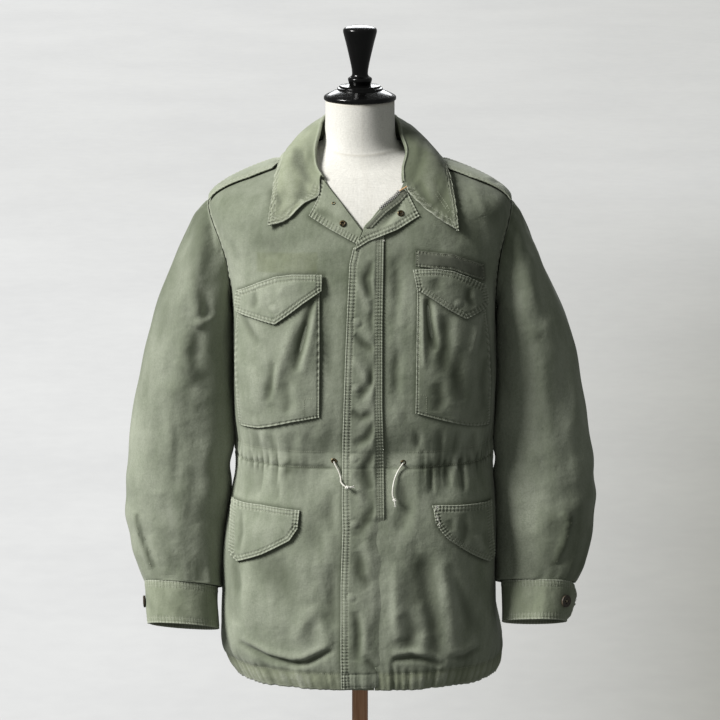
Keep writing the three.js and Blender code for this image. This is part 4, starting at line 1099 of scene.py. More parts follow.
def frayed_end(start, run, length, strands, spread):
    """Loose strands at the cut end of a cord."""
    loose = np.random.default_rng(strands)
    shapes = []
    side = unit(np.cross(run, [0.0, -1.0, 0.0]))
    away = np.cross(side, run)
    for _ in range(strands):
        angle = loose.uniform(0, TAU)
        lean = loose.uniform(0.2, 1.0) * spread
        reach = length * loose.uniform(0.55, 1.0)
        f = np.linspace(0, 1, 6)[:, None]
        out = side * math.cos(angle) + away * math.sin(angle) * 0.5
        curl = side * loose.uniform(-0.5, 0.5)
        centres = start + out * 0.6 + run * reach * f + out * lean * f ** 1.6 + curl * np.sin(f * 5)
        shapes.append(tube(centres, 0.26 * (1 - 0.5 * f[:, 0]), 5))
    return shapes


def add_waist_cord(name, node, rows, tail, strands):
    rows = smooth_line(rows, CORD_POINTS)
    centres = on_front(rows[:, 0], rows[:, 1], rows[:, 2], 0.0)
    centres = smooth_line(centres[::2], CORD_POINTS)
    sides = 12
    points, faces = tube(centres, CORD_RADIUS, sides)
    piece = add_mesh(name, points, faces, white_cord, [node])
    length = float(np.linalg.norm(np.diff(centres, axis=0), axis=1).sum()) * MM
    give_tube_uv(piece, length, CORD_POINTS, sides, CORD_RADIUS)
    run = unit(centres[-1] - centres[-3])
    knot_middle = centres[-1] - run * 0.6
    shapes = [knot_shape(knot_middle, run, 2.7)]
    tail_run = unit(np.array(tail, float))
    tail_start = knot_middle + tail_run * 2.4
    tail_line = tail_start + tail_run * np.linspace(0, 1, 6)[:, None] * np.linalg.norm(tail)
    shapes.append(tube(tail_line, CORD_RADIUS * 0.9, 10))
    shapes.extend(frayed_end(tail_line[-1], tail_run, 4.2, strands, 2.6))
    points, faces = join_shapes(shapes)
    knot = add_mesh(name + "_knot", points, faces, white_thread)


add_waist_cord("drawstring_right", "waist_cord_right", CORD_RIGHT, (4.5, -0.6, 0.4), 14)
add_waist_cord("drawstring_left", "waist_cord_left", CORD_LEFT, (0.6, 0.0, -4.5), 7)


# Fronts and back

def ends_dense(count, share=0.5):
    """Numbers from 0 to 1 that lie closer together at both ends."""
    t = np.linspace(0, 1, count)
    return t - share * np.sin(TAU * t) / TAU


def panel_levels(count):
    fine = np.linspace(0, NECK_LEVEL, 1400)
    row = smooth_row(BODY, fine)
    along = np.concatenate([[0], np.cumsum(np.hypot(np.diff(row[:, 0]), np.diff(row[:, 4])))])
    return np.interp(np.linspace(0, along[-1], count), along, fine)


def armhole_reach(column, level):
    at = np.interp(level, ARMHOLE[:, 0], np.arange(len(ARMHOLE)))
    value = smooth_row(ARMHOLE, at)[..., column]
    inside = (level > ARMHOLE_FOOT) & (level < ARMHOLE_TOP)
    return np.maximum(np.where(inside, value, 0), SEAM_GAP / 2)


def edge_turn(level, left, front):
    """The turn of each side or armhole edge."""
    level = np.asarray(level, float)
    y = armhole_reach(1 if front else 2, level)
    quarter = math.pi / 2
    if front:
        return turn_at(level, 1, -y, 0 if left else math.pi, quarter)
    return turn_at(level, 1, y, TAU if left else math.pi, 3 * quarter)


def fold_x(level, left):
    at = np.interp(level, FOLD[:, 0], np.arange(len(FOLD)))
    return smooth_row(FOLD, at)[..., 2 if left else 1]


LEVELS = panel_levels(272)
FRONT_COLUMNS = 88
BACK_COLUMNS = 128


def wear_and_trough_shade(relief, wear=0.35, trough_shade=0.5):
    """Crests rub pale with wear, and troughs get painted shade."""
    wear_and_light = wear * np.clip(relief / 1.6, 0, 1)
    shade_and_marks = trough_shade * np.clip(-relief / 3.0, 0, 1)
    return wear_and_light, shade_and_marks


ARMHOLE_ROWS = (2.2, 9.0)


def armhole_relief(distance, z):
    """The felled armhole seam: two stitched grooves, a pucker between, and its rubbed crests."""
    shown = smooth_step(1262, 1280, z)
    near_row, far_row = ARMHOLE_ROWS
    groove = -0.55 * bell(distance, near_row, 1.4) - 0.5 * bell(distance, far_row, 1.5)
    wave = np.sin(z / 1.7 + np.sin(z / 7))
    pucker = 0.7 * wave * bell(distance, 5.0, 4.0)
    relief = shown * (groove + pucker + 0.5 * bell(distance, 5.5, 3.0))
    rubbed_and_lit = np.exp(-distance / 2.6) + 0.55 * bell(distance, 5.5, 3.5)
    return relief, shown * (0.6 + 0.4 * wave) * rubbed_and_lit


def panel(first, last, columns, sides):
    """One body panel between two edges, given as turns at each level."""
    f = ends_dense(columns)
    turn = first[:, None] + (last - first)[:, None] * f
    level = np.broadcast_to(LEVELS[:, None], turn.shape)
    flat = body_smooth(turn, level)
    lengths = arc_lengths(flat, 1)
    seam = np.zeros(turn.shape)
    worn_seam = np.zeros(turn.shape)
    for side in sides:
        distance = lengths if side == "left" else lengths[:, -1:] - lengths
        relief, rubbed_and_lit = armhole_relief(distance, flat[..., 2])
        seam = seam + relief
        worn_seam = worn_seam + rubbed_and_lit
    grid, relief = body_point(turn, level, seam)
    z = grid[..., 2]
    wear_and_light, shade_and_marks = wear_and_trough_shade(relief, 0.2, 0.65)
    # Painted shade over the shoulder tops.
    shade_and_marks = shade_and_marks + 0.28 * smooth_step(1372, 1415, z)
    rise = z - HEM_Z
    hem = smooth_step(34, 24, rise)
    crest = np.clip(relief + 0.6, 0, 2)
    edge = 0.9 * np.exp(-np.maximum(rise, 0) / 2.2)
    wear_and_light = wear_and_light + worn_seam + hem * (0.10 + 0.30 * crest) + edge
    channel = bell(z, (WAIST_TOP_Z + WAIST_FOOT_Z) / 2, 14)
    # Painted shade in the troughs of the waist ruffles; their crests turn pale, partly with wear
    # and partly as painted highlight.
    shade_and_marks = shade_and_marks + 0.8 * bell(z, WAIST_FOOT_Z, 10) * np.clip(-relief / 2 - 0.2, 0, 1)
    rubbed_and_lit = 0.5 * bell(z, WAIST_FOOT_Z, 9) * np.clip(relief - 0.4, 0, 1.4)
    wear_and_light = wear_and_light + 0.10 * channel * crest + rubbed_and_lit
    sunned = 0.65 * hem
    return turn, grid, wear_and_light, shade_and_marks, sunned


# Flat pieces laid on the fronts: four edges in x and z, from left to right or from foot to head
POCKET_RIGHT = {
    "foot": [[-171, 1095], [-144, 1098], [-96, 1112], [-58, 1120]],
    "head": [[-169, 1276], [-118, 1305], [-57, 1312]],
    "left": [[-171, 1095], [-176, 1170], [-175, 1230], [-169, 1276]],
    "right": [[-58, 1120], [-57, 1217], [-57, 1312]],
}
POCKET_LEFT = {
    "foot": [[79, 1126], [113, 1115], [155, 1102], [184, 1096]],
    "head": [[81, 1312], [130, 1308], [174, 1283]],
    "left": [[79, 1126], [80, 1217], [81, 1312]],
    "right": [[184, 1096], [185, 1165], [181, 1223], [174, 1283]],
}
POCKET_FLAP_RIGHT = {
    "foot": [[-172, 1264], [-147, 1259], [-118, 1253], [-101, 1266], [-79, 1284], [-54, 1302]],
    "head": [[-172, 1293], [-142, 1309], [-118, 1319], [-95, 1323], [-53, 1324]],
    "left": [[-172, 1264], [-172, 1293]],
    "right": [[-54, 1302], [-53, 1324]],
}
POCKET_FLAP_LEFT = {
    "foot": [[80, 1304], [101, 1290], [122, 1275], [147, 1259], [166, 1267], [179, 1274]],
    "head": [[75, 1331], [107, 1331], [131, 1326], [155, 1315], [176, 1302]],
    "left": [[80, 1304], [75, 1331]],
    "right": [[179, 1274], [176, 1302]],
}
HIP_FLAP_RIGHT = {
    "foot": [[-187, 904], [-176, 897], [-140, 914], [-100, 938], [-89, 955]],
    "head": [[-184, 981], [-140, 984], [-86, 981]],
    "left": [[-187, 904], [-184, 981]],
    "right": [[-89, 955], [-86, 981]],
}
HIP_FLAP_LEFT = {
    "foot": [[108, 963], [117, 949], [126, 938], [155, 915], [184, 894], [191, 898]],
    "head": [[104, 988], [150, 984], [188, 981]],
    "left": [[108, 963], [104, 988]],
    "right": [[191, 898], [188, 981]],
}
TAPE = {
    "foot": [[79, 1336], [130, 1329.5], [176, 1309]],
    "head": [[79, 1357], [130, 1350], [174, 1331]],
    "left": [[79, 1336], [79, 1357]],
    "right": [[176, 1309], [174, 1331]],
}
FLY = {
    "foot": [[-26, 717], [40, 719]],
    "head": [[-9, 1361], [11, 1373], [33, 1381]],
    "left": [[-26, 717], [-27, 761], [-27, 872], [-24, 953], [-25, 998], [-24, 1085], [-20, 1209],
             [-17, 1280], [-14, 1340], [-9, 1361]],
    "right": [[40, 719], [40, 820], [38, 910], [34, 975],
              [33, 1070], [31, 1137], [31, 1257], [33, 1381]],
}
LAPEL_RIGHT = {
    "foot": [[-4, 1367], [3, 1384]],
    "head": [[-71, 1404], [-59, 1426], [-53, 1451]],
    "left": [[-4, 1367], [-42, 1387], [-71, 1404]],
    "right": [[3, 1384], [-25, 1419], [-53, 1451]],
}
LAPEL_LEFT = {
    "foot": [[5, 1385], [-8, 1359]],
    "head": [[62, 1441], [69, 1429], [83, 1404]],
    "left": [[5, 1385], [30, 1412], [52, 1429], [62, 1441]],
    "right": [[-8, 1359], [12, 1371], [52, 1386], [83, 1404]],
}
ZIP_TAPE = {
    "foot": [[8, 1388], [16, 1388]],
    "head": [[60, 1438], [66, 1431]],
    "left": [[8, 1388], [31, 1412], [52, 1428], [60, 1438]],
    "right": [[16, 1388], [36, 1407], [57, 1422], [66, 1431]],
}
# The collar's lower edges on the fronts, along which a painted shadow runs.
COLLAR_FOOT_RIGHT = [[-124, 1432], [-119, 1394], [-102, 1401], [-83, 1421], [-60, 1434]]
COLLAR_FOOT_LEFT = [[77, 1430], [85, 1426], [112, 1405], [137, 1386], [132, 1431], [121, 1474]]
SLEEVE_SLIT = {
    True: [[304, 953], [296, 925], [279, 884]],
    False: [[-323, 956], [-317, 925], [-300, 881]],
}


def shaded_edge(x, z, edge, width=3.4):
    """Painted shadow on the cloth beside the edge of a piece that lies on it."""
    return np.exp(-((line_distance(x, z, edge)[0] / width) ** 2))


def shaded_round(x, z, outlines, width=3.4):
    shade = np.zeros(np.shape(x))
    for outline in outlines:
        for edge in outline:
            shade = np.maximum(shade, shaded_edge(x, z, edge, width))
    return shade


GHOST_TAPE = (-145, -60, 1324, 1352)


def add_front(left):
    side = "left" if left else "right"
    inner = turn_at(LEVELS, 0, fold_x(LEVELS, left), 0, math.pi)
    outer = edge_turn(LEVELS, left, True)
    turn, grid, wear_and_light, shade_and_marks, sunned = panel(inner, outer, FRONT_COLUMNS, ["right"])
    x = grid[..., 0]
    z = grid[..., 2]
    if not left:
        low_x, high_x, low_z, high_z = GHOST_TAPE
        inside = smooth_step(low_x - 2, low_x + 2, x)
        inside = inside * (1 - smooth_step(high_x - 2, high_x + 2, x))
        lift = 0.09 * (x - low_x)
        inside = inside * smooth_step(low_z - 2, low_z + 2, z - 0.4 * lift)
        inside = inside * (1 - smooth_step(high_z - 2, high_z + 2, z - 0.4 * lift))
        streak = 0.5 + 0.5 * np.sin(x * 1.35 + 2 * np.sin(x / 6)) * np.sin(x / 3.1)
        shade_and_marks = shade_and_marks + 0.20 * inside * (0.5 + streak)
        sunned = sunned + 0.55 * inside * (0.6 + 0.4 * streak)
    if left:
        # Painted shade over the upper chest of the left front.
        shade_and_marks = shade_and_marks + 0.30 * smooth_step(1290, 1345, z)
        laid = [POCKET_LEFT.values(), HIP_FLAP_LEFT.values(), TAPE.values()]
        laid.append([FLY["right"][4:], LAPEL_LEFT["right"]])
        collar_foot = COLLAR_FOOT_LEFT
    else:
        laid = [POCKET_RIGHT.values(), HIP_FLAP_RIGHT.values()]
        laid.append([FLY["left"], LAPEL_RIGHT["left"], POCKET_FLAP_RIGHT["head"]])
        collar_foot = COLLAR_FOOT_RIGHT
    # Painted shadow beside the pieces laid on this front and below the collar's lower edge.
    shade_and_marks = shade_and_marks + 0.95 * shaded_round(x, z, laid, 4.0)
    shade_and_marks = shade_and_marks + 0.7 * shaded_edge(x, z, collar_foot, 6.5)
    grid_name = "cloth_front_" + side
    cloth_piece(grid_name, grid, CLOTH, sage_cotton, ["front_" + side], not left, False,
                wear_and_light, shade_and_marks, sunned)
    sew_body(grid_name, turn, grid, left)
    return grid


def height_path(turn, grid, value, low_turn, high_turn):
    """The path where each column reaches a height, between two turns."""
    path = []
    for c in range(grid.shape[1]):
        z = grid[:, c, 2]
        over = np.nonzero(z >= value)[0]
        if not len(over) or over[0] == 0:
            continue
        r = over[0]
        t = turn[r, c]
        if not low_turn <= t <= high_turn:
            continue
        f = (value - z[r - 1]) / max(z[r] - z[r - 1], 1e-6)
        path.append((grid[r - 1, c] + (grid[r, c] - grid[r - 1, c]) * f, r, c))
    return path


def sew_heights(place, turn, grid, normals, value, low_turn, high_turn):
    found = height_path(turn, grid, value, low_turn, high_turn)
    if len(found) > 3:
        path = np.array([p for p, _, _ in found])
        ups = np.array([normals[r, c] for _, r, c in found])
        sew(place, path, ups)


def sew_body(place, turn, grid, left):
    """The hem, waist channel and armhole rows of one front."""
    normals = grid_normals(grid, not left, False)
    low, high = (0.0, 1.43) if left else (1.72, math.pi)
    channel_end = 1.28 if left else 1.86
    ends = (low, channel_end) if left else (channel_end, high)
    sew_heights(place, turn, grid, normals, HEM_Z + HEM_STITCH_RISE, low, high)
    sew_heights(place, turn, grid, normals, WAIST_TOP_Z, *ends)
    sew_heights(place, turn, grid, normals, WAIST_FOOT_Z, *ends)
    for inset in ARMHOLE_ROWS:
        path, ups = inset_row(grid, normals, "right", inset)
        keep = (path[:, 2] > 1275) & (path[:, 2] < 1412)
        sew(place, path[keep], ups[keep])


front_right = add_front(False)
front_left = add_front(True)


def side_reach(left, *grids):
    """How far out the body's cloth reaches at each height, from its built grids."""
    points = np.concatenate([grid.reshape(-1, 3) for grid in grids])
    sign = 1 if left else -1
    heights = np.arange(820, 1300, 6.0)
    reach = []
    for z in heights:
        near = points[np.abs(points[:, 2] - z) < 5]
        reach.append((sign * near[:, 0]).max())
    return heights, np.array(reach)


def add_back():
    first = edge_turn(LEVELS, False, False)
    last = edge_turn(LEVELS, True, False)
    turn, grid, wear_and_light, shade_and_marks, sunned = panel(first, last, BACK_COLUMNS, ["left", "right"])
    shade_and_marks = 0.6 * shade_and_marks
    cloth_piece("cloth_back", grid, CLOTH, sage_cotton, ["back"], True, False,
                wear_and_light, shade_and_marks, sunned)
    normals = grid_normals(grid, True, False)
    for value in (HEM_Z + HEM_STITCH_RISE, WAIST_TOP_Z, WAIST_FOOT_Z):
        sew_heights("cloth_back", turn, grid, normals, value, math.pi, TAU)
    for side in ("left", "right"):
        for inset in ARMHOLE_ROWS:
            path, ups = inset_row(grid, normals, side, inset)
            keep = path[:, 2] < 1425
            sew("cloth_back", path[keep], ups[keep])
    return grid


back_grid = add_back()
BODY_REACH = {
    False: side_reach(False, front_right, back_grid),
    True: side_reach(True, front_left, back_grid),
}


# Sleeves: outer x and z, inner x and z, middle y, half depth and tilt
SLEEVE_RIGHT = np.array([
    [-217, 1414, -183, 1256, 1, 53, 0],
    [-232, 1396, -186.5, 1247, 0, 58, 0],
    [-246, 1370, -187.5, 1238, -2, 62, 0],
    [-265, 1329, -187.5, 1222, -4, 65, 0],
    [-284, 1280, -187.5, 1200, -6, 65, 0.02],
    [-301, 1223, -187.5, 1165, -8, 62, 0.04],
    [-315, 1168, -187.5, 1125, -10, 58, 0.06],
    [-325, 1119, -188.5, 1085, -11, 55, 0.06],
    [-332, 1070, -190, 1045, -12, 54, 0.05],
    [-337, 1020, -194, 1003, -13, 54, 0.05],
    [-340, 975, -200, 965, -15, 53, 0.08],
    [-338, 935, -205, 930, -17, 51, 0.14],
    [-331, 895, -206, 893, -20, 48, 0.24],
    [-322, 868, -208, 864, -24, 43, 0.32],
    [-313, 850, -207, 841, -27, 40, 0.38],
])
SLEEVE_LEFT = np.array([
    [217, 1414, 195, 1256, 1, 53, 0],
    [232, 1390, 198.5, 1247, 0, 58, 0],
    [245, 1360, 200, 1238, -2, 62, 0],
    [263, 1318, 200, 1222, -4, 65, 0],
    [281, 1274, 200, 1200, -6, 65, 0.02],
    [299, 1230, 200, 1165, -8, 62, 0.04],
    [311, 1188, 200, 1125, -10, 58, 0.06],
    [320, 1138, 200, 1085, -11, 55, 0.06],
    [328, 1088, 200, 1045, -12, 54, 0.05],
    [336, 1042, 203, 1003, -13, 54, 0.05],
    [341, 998, 206, 965, -15, 53, 0.08],
    [341, 960, 207, 930, -17, 51, 0.14],
    [337, 916, 207, 893, -20, 48, 0.24],
    [328, 876, 206, 869, -24, 43, 0.32],
    [314, 848, 206, 850, -27, 40, 0.38],
])
SLEEVE_END = len(SLEEVE_RIGHT) - 1
HEAD_BLEND = 2.5
HEAD_STEP = 0.8
FOOT_STEP = 2.6

# Creases of the sleeves on their front half, in x and z
SLEEVE_CREASES_RIGHT = [
    ([[-228, 1398], [-226, 1370], [-231, 1330], [-236, 1296]], 9.0, 4.4),
    ([[-238, 1300], [-232, 1262], [-229, 1236]], 5.5, 4.2),
    ([[-238, 1238], [-224, 1243], [-206, 1256]], 4.6, 3.6),
    ([[-246, 1234], [-251, 1196], [-240, 1150]], 8.0, 3.2),
    ([[-262, 1190], [-240, 1172], [-216, 1176]], 9.0, 2.0),
    ([[-290, 1150], [-262, 1140], [-236, 1118]], 10.0, 1.8),
    ([[-276, 1116], [-272, 1060], [-274, 1010]], 3.6, 1.3),
    ([[-252, 1100], [-236, 1074], [-212, 1070]], 10.0, -2.2),
    ([[-300, 1080], [-290, 1040], [-296, 1000]], 12.0, 1.4),
    ([[-228, 1050], [-222, 1010], [-228, 980]], 8.0, 2.4),
    ([[-262, 1010], [-240, 980], [-222, 960]], 9.0, 1.8),
    ([[-288, 990], [-270, 950], [-266, 920]], 9.0, -1.8),
    ([[-240, 945], [-226, 915], [-224, 880]], 8.0, 2.2),
    ([[-300, 930], [-280, 900], [-276, 870]], 7.0, 1.8),
    ([[-326, 960], [-316, 915], [-303, 876]], 3.2, 2.6),
    ([[-220, 1424], [-214, 1396], [-206, 1340]], 5.0, -1.6),
]
SLEEVE_CREASES_LEFT = [
    ([[224, 1404], [222, 1370], [228, 1330]], 8.0, 3.0),
    ([[238, 1340], [244, 1290], [240, 1240]], 10.0, 2.2),
    ([[214, 1262], [232, 1236], [256, 1222]], 8.0, 2.4),
    ([[212, 1200], [226, 1168], [222, 1130]], 9.0, 2.6),
    ([[250, 1180], [262, 1130], [256, 1086]], 12.0, 1.6),
    ([[286, 1200], [296, 1150], [300, 1090]], 10.0, -1.6),
    ([[214, 1080], [234, 1050], [262, 1040]], 10.0, 2.0),
    ([[220, 1010], [244, 990], [270, 996]], 10.0, -2.0),
    ([[216, 960], [236, 930], [262, 926]], 9.0, 2.2),
    ([[300, 1010], [306, 970], [296, 930]], 10.0, 2.0),
    ([[292, 964], [302, 952], [304, 940]], 4.0, 3.0),
    ([[304, 950], [296, 915], [284, 886]], 4.0, 2.6),
    ([[240, 900], [248, 878], [246, 862]], 6.0, 1.8),
]
SLEEVE_CREASES_BEHIND = [
    ([[230, 1360], [236, 1310], [226, 1260]], 10.0, 3.0),
    ([[212, 1240], [240, 1216], [270, 1214]], 9.0, 2.4),
    ([[222, 1180], [252, 1150], [286, 1150]], 10.0, 2.6),
    ([[214, 1100], [250, 1070], [300, 1080]], 9.0, 3.4),
    ([[220, 1050], [256, 1030], [310, 1040]], 8.0, 3.0),
    ([[224, 1000], [262, 985], [316, 1000]], 8.0, 3.0),
    ([[230, 950], [262, 930], [306, 940]], 9.0, 2.4),
    ([[236, 900], [252, 880], [246, 862]], 7.0, 2.0),
    ([[300, 920], [292, 890], [280, 868]], 6.0, 2.0),
]


def sleeve_oval(rows, at, spoke):
    at, spoke = np.broadcast_arrays(np.asarray(at, float), np.asarray(spoke, float))
    row = smooth_row(rows, at)
    outer_x, outer_z, inner_x, inner_z, middle_y, half_depth, tilt = np.moveaxis(row, -1, 0)
    c = np.cos(spoke)
    y = -half_depth * np.sin(spoke)
    x = (outer_x + inner_x) / 2 + (outer_x - inner_x) / 2 * c
    z = (outer_z + inner_z) / 2 + (outer_z - inner_z) / 2 * c
    return np.stack([x, middle_y + y, z - tilt * y], axis=-1)


def armhole_loop(left, spoke):
    """The armhole edge that faces each spoke of the sleeve."""
    levels = np.linspace(ARMHOLE_FOOT, ARMHOLE_TOP, 400)
    side_z = smooth_row(BODY, levels)[:, 0]
    z = side_z[0] + (side_z[-1] - side_z[0]) * (1 + np.cos(spoke)) / 2
    level = np.interp(z, side_z, levels)
    ahead = body_smooth(edge_turn(level, left, True), level)
    behind = body_smooth(edge_turn(level, left, False), level)
    p = np.where((np.sin(spoke) >= 0)[:, None], ahead, behind)
    low = (1 - np.cos(spoke)) / 2
    step = HEAD_STEP + (FOOT_STEP - HEAD_STEP) * low * low
    p[:, 0] += step if left else -step
    return p


def sleeve_fold(at, spoke, left):
    elbow = bell(at, 10.2, 1.9)
    head = bell(at, 3.2, 1.4)
    bend = np.sin(at * 4.4 + (0.6 if left else 0) + 1.6 * np.cos(spoke))
    pull = np.sin(2 * spoke + at * 0.9)
    inward = 0.5 - 0.5 * np.cos(spoke)
    return 1.3 * elbow * bend * (1 - inward) - 2.0 * elbow * inward + 1.6 * head * pull


def sleeve_relief(p, at, spoke, left, cuff_gathers, head_gathers):
    """Creases, the gathers into the cuff and the eased head."""
    x = p[..., 0]
    z = p[..., 2]
    front = np.sin(spoke) > -0.05
    relief = np.zeros(x.shape)
    ahead = SLEEVE_CREASES_LEFT if left else SLEEVE_CREASES_RIGHT
    relief = add_creases(relief, x, z, ahead, 1.25, 1.15, front)
    behind = SLEEVE_CREASES_BEHIND
    if not left:
        behind = [([[-a, b] for a, b in points], width, depth) for points, width, depth in behind]
    relief = add_creases(relief, x, z, behind, 1.0, 1.3, ~front)
    inner = 0.5 - 0.5 * np.cos(spoke)
    relief = relief * (1 - 0.75 * inner ** 3)
    for place, width, depth, reach in cuff_gathers:
        d = turn_gap(spoke, place) / width
        relief = relief - depth * np.exp(-d * d) * np.exp(-((SLEEVE_END - at) / reach) ** 2)
    for place, width, depth, reach in head_gathers:
        d = turn_gap(spoke, place) / width
        relief = relief + depth * np.exp(-d * d) * np.exp(-(((at - 0.35) / reach) ** 2))
    uneven = np.sin(spoke * 5 + z / 37) * np.sin(z / 53 + 2 * np.sin(spoke * 2))
    finer = np.sin(spoke * 11 - z / 21) * np.sin(z / 29 + spoke * 4)
    return relief + 1.2 * uneven + 0.5 * finer


def lean_on_body(grid, spoke, left):
    """Lets the sleeve's inner side hang against the body, open only beside the waist."""
    sign = 1 if left else -1
    heights, reach = BODY_REACH[left]
    inner = np.argmin(sign * grid[..., 0], axis=1)
    rows = np.arange(len(grid))
    x = sign * grid[rows, inner, 0]
    z = grid[rows, inner, 2]
    gap = np.clip(x - np.interp(z, heights, reach) - 0.2, 0, 9)
    waist = bell(z, 1030, 7) if left else bell(z, 1022, 22)
    gap = gap * smooth_step(1262, 1240, z) * (1 - waist)
    gap = np.convolve(np.pad(gap, 3, mode="edge"), np.ones(7) / 7, mode="valid")
    side = (0.5 - 0.5 * np.cos(spoke)) ** 1.5
    moved = grid.copy()
    moved[..., 0] -= sign * gap[:, None] * side
    return moved


# The sleeve's long seam: its place round the sleeve, the sleeve's radius there, and its two rows
SEAM_SPOKE = -0.62
SEAM_RADIUS = 75
SEAM_ROW = 3.6
SLEEVE_RINGS = 250
SLEEVE_SPOKES = 92


def add_sleeve(left):
    side = "left" if left else "right"
    rows = SLEEVE_LEFT if left else SLEEVE_RIGHT
    t = np.linspace(0, 1, SLEEVE_RINGS)
    at = (t - 0.30 * np.sin(TAU * t) / TAU) * SLEEVE_END
    spoke = np.arange(SLEEVE_SPOKES) * TAU / SLEEVE_SPOKES
    at, spoke = np.meshgrid(at, spoke, indexing="ij")
    p = sleeve_oval(rows, at, spoke)
    f = np.maximum(1 - at / HEAD_BLEND, 0)
    keep = f * f * (3 - 2 * f)
    shift = armhole_loop(left, spoke[0]) - sleeve_oval(rows, 0.0, spoke[0])
    e = 0.03
    a = sleeve_oval(rows, at, spoke + e) - sleeve_oval(rows, at, spoke - e)
    high = np.minimum(at + e, SLEEVE_END)
    b = sleeve_oval(rows, high, spoke) - sleeve_oval(rows, np.maximum(at - e, 0), spoke)
    normal = unit(np.cross(b, a) if left else np.cross(a, b))
    ease = np.random.default_rng(21 if left else 12)
    # Gathers: place round the sleeve, then width, depth and reach, each drawn from a range
    cuff_ranges = ((0.05, 0.10), (0.8, 2.2), (0.5, 1.5))
    head_ranges = ((0.03, 0.06), (-0.9, 0.9), (0.3, 0.7))
    cuff_gathers = []
    for place in scattered(20, 0, TAU):
        cuff_gathers.append((place, *[ease.uniform(*span) for span in cuff_ranges]))
    head_gathers = []
    for place in scattered(17, -1.5, 1.5):
        head_gathers.append((place, *[ease.uniform(*span) for span in head_ranges]))
    head_gathers.append((0.30, 0.13, -3.0, 1.0))
    head_gathers.append((0.02, 0.10, 1.6, 0.9))
    relief = sleeve_relief(p + shift * keep[..., None], at, spoke, left, cuff_gathers, head_gathers)
    near_cuff = smooth_step(SLEEVE_END - 0.25, SLEEVE_END, at)
    relief = relief * smooth_step(0, 0.3, at) * (1 - 0.75 * near_cuff)
    seam_gap = turn_gap(spoke, SEAM_SPOKE) * SEAM_RADIUS
    felled = -0.7 * bell(seam_gap, -SEAM_ROW, 1.8) - 0.7 * bell(seam_gap, SEAM_ROW, 1.8)
    felled = felled + 0.4 * bell(seam_gap, 0, 3.0)
    pucker = 0.35 * np.sin(p[..., 2] / 1.2) * bell(seam_gap, 0, 4.5)
    height = sleeve_fold(at, spoke, left) * (1 - keep) + relief
    height = height + (felled + pucker) * smooth_step(0.2, 0.6, at)
    grid = p + shift * keep[..., None] + normal * height[..., None]
    grid = lean_on_body(grid, spoke, left)
    wear_and_light, shade_and_marks = wear_and_trough_shade(relief, 0.22, 0.3)
    wear_and_light = wear_and_light + 0.45 * np.exp(-((at / 0.10) ** 2)) + 0.25 * bell(seam_gap, 0, 3.2)
    elbow = bell(at, 8.6, 2.2) * np.clip(np.cos(spoke), 0, 1)
    # Painted light over the inner side that faces the body, added to the paler wear at the elbow.
    body_side = np.clip(0.2 - np.cos(spoke), 0, 1) * (np.sin(spoke) > -0.3)
    wear_and_light = wear_and_light + 0.22 * elbow + body_side * (0.5 if left else 0.3)
    # Painted shade: over the upper outer side of the right sleeve and the lower part of the left
    # sleeve.
    away = np.clip(np.cos(spoke), 0, 1)
    if left:
        shade_and_marks = shade_and_marks + 0.42 * smooth_step(8.5, 11.5, at)
    else:
        shade_and_marks = shade_and_marks + 0.58 * away * smooth_step(9, 3, at)
    # Painted shade along the sleeve head's seam and beside the slit above the cuff.
    shade_and_marks = shade_and_marks + 0.25 * bell(at, 0.15, 0.12)
    slit = shaded_edge(grid[..., 0], grid[..., 2], SLEEVE_SLIT[left], 2.6) * (np.sin(spoke) > 0)
    shade_and_marks = shade_and_marks + 0.9 * slit
    sunned = 0.05 * smooth_step(10, SLEEVE_END, at)
    name = "cloth_sleeve_" + side
    cloth_piece(name, grid, CLOTH, sage_cotton, ["sleeve_" + side], left, True,
                wear_and_light, shade_and_marks, sunned)
    normals = grid_normals(grid, left, True)
    for gap in (-SEAM_ROW, SEAM_ROW):
        place = (SEAM_SPOKE + gap / SEAM_RADIUS) % TAU
        number = place / TAU * SLEEVE_SPOKES
        low = int(math.floor(number)) % SLEEVE_SPOKES
        nxt = (low + 1) % SLEEVE_SPOKES
        f = number - math.floor(number)
        path = grid[:, low] * (1 - f) + grid[:, nxt] * f
        ups = unit(normals[:, low] * (1 - f) + normals[:, nxt] * f)
        sew(name, path[12:-2], ups[12:-2])
    return grid


sleeve_right = add_sleeve(False)
sleeve_left = add_sleeve(True)


def edge_line(points, shares):
    """Points at given shares of a line's length."""
    points = np.array(points, float)
    along = line_lengths(points)
    return places_at(np.asarray(shares) * along[-1], along, points)


def four_sided(edges, across, up):
    """A sheet of places between four edges, for shares across and shares up."""
    foot = edge_line(edges["foot"], across)
    head = edge_line(edges["head"], across)
    left = edge_line(edges["left"], up)
    right = edge_line(edges["right"], up)
    u = np.asarray(across)[None, :, None]
    v = np.asarray(up)[:, None, None]
    ruled = (1 - v) * foot[None] + v * head[None] + (1 - u) * left[:, None] + u * right[:, None]
    low = (1 - v) * ((1 - u) * foot[0] + u * foot[-1])
    high = v * ((1 - u) * head[0] + u * head[-1])
    return ruled - low - high


def edge_distances(flat, edges):
    """How far each place is from each edge, and how far along that edge, in millimetres."""
    found = {}
    for side, points in edges.items():
        points = np.array(points, float)
        length = np.linalg.norm(np.diff(points, axis=0), axis=1).sum()
        d, share = line_distance(flat[..., 0], flat[..., 1], points)
        found[side] = (np.abs(d), share * length)
    return found


SEAM_PUCKER = 4.7


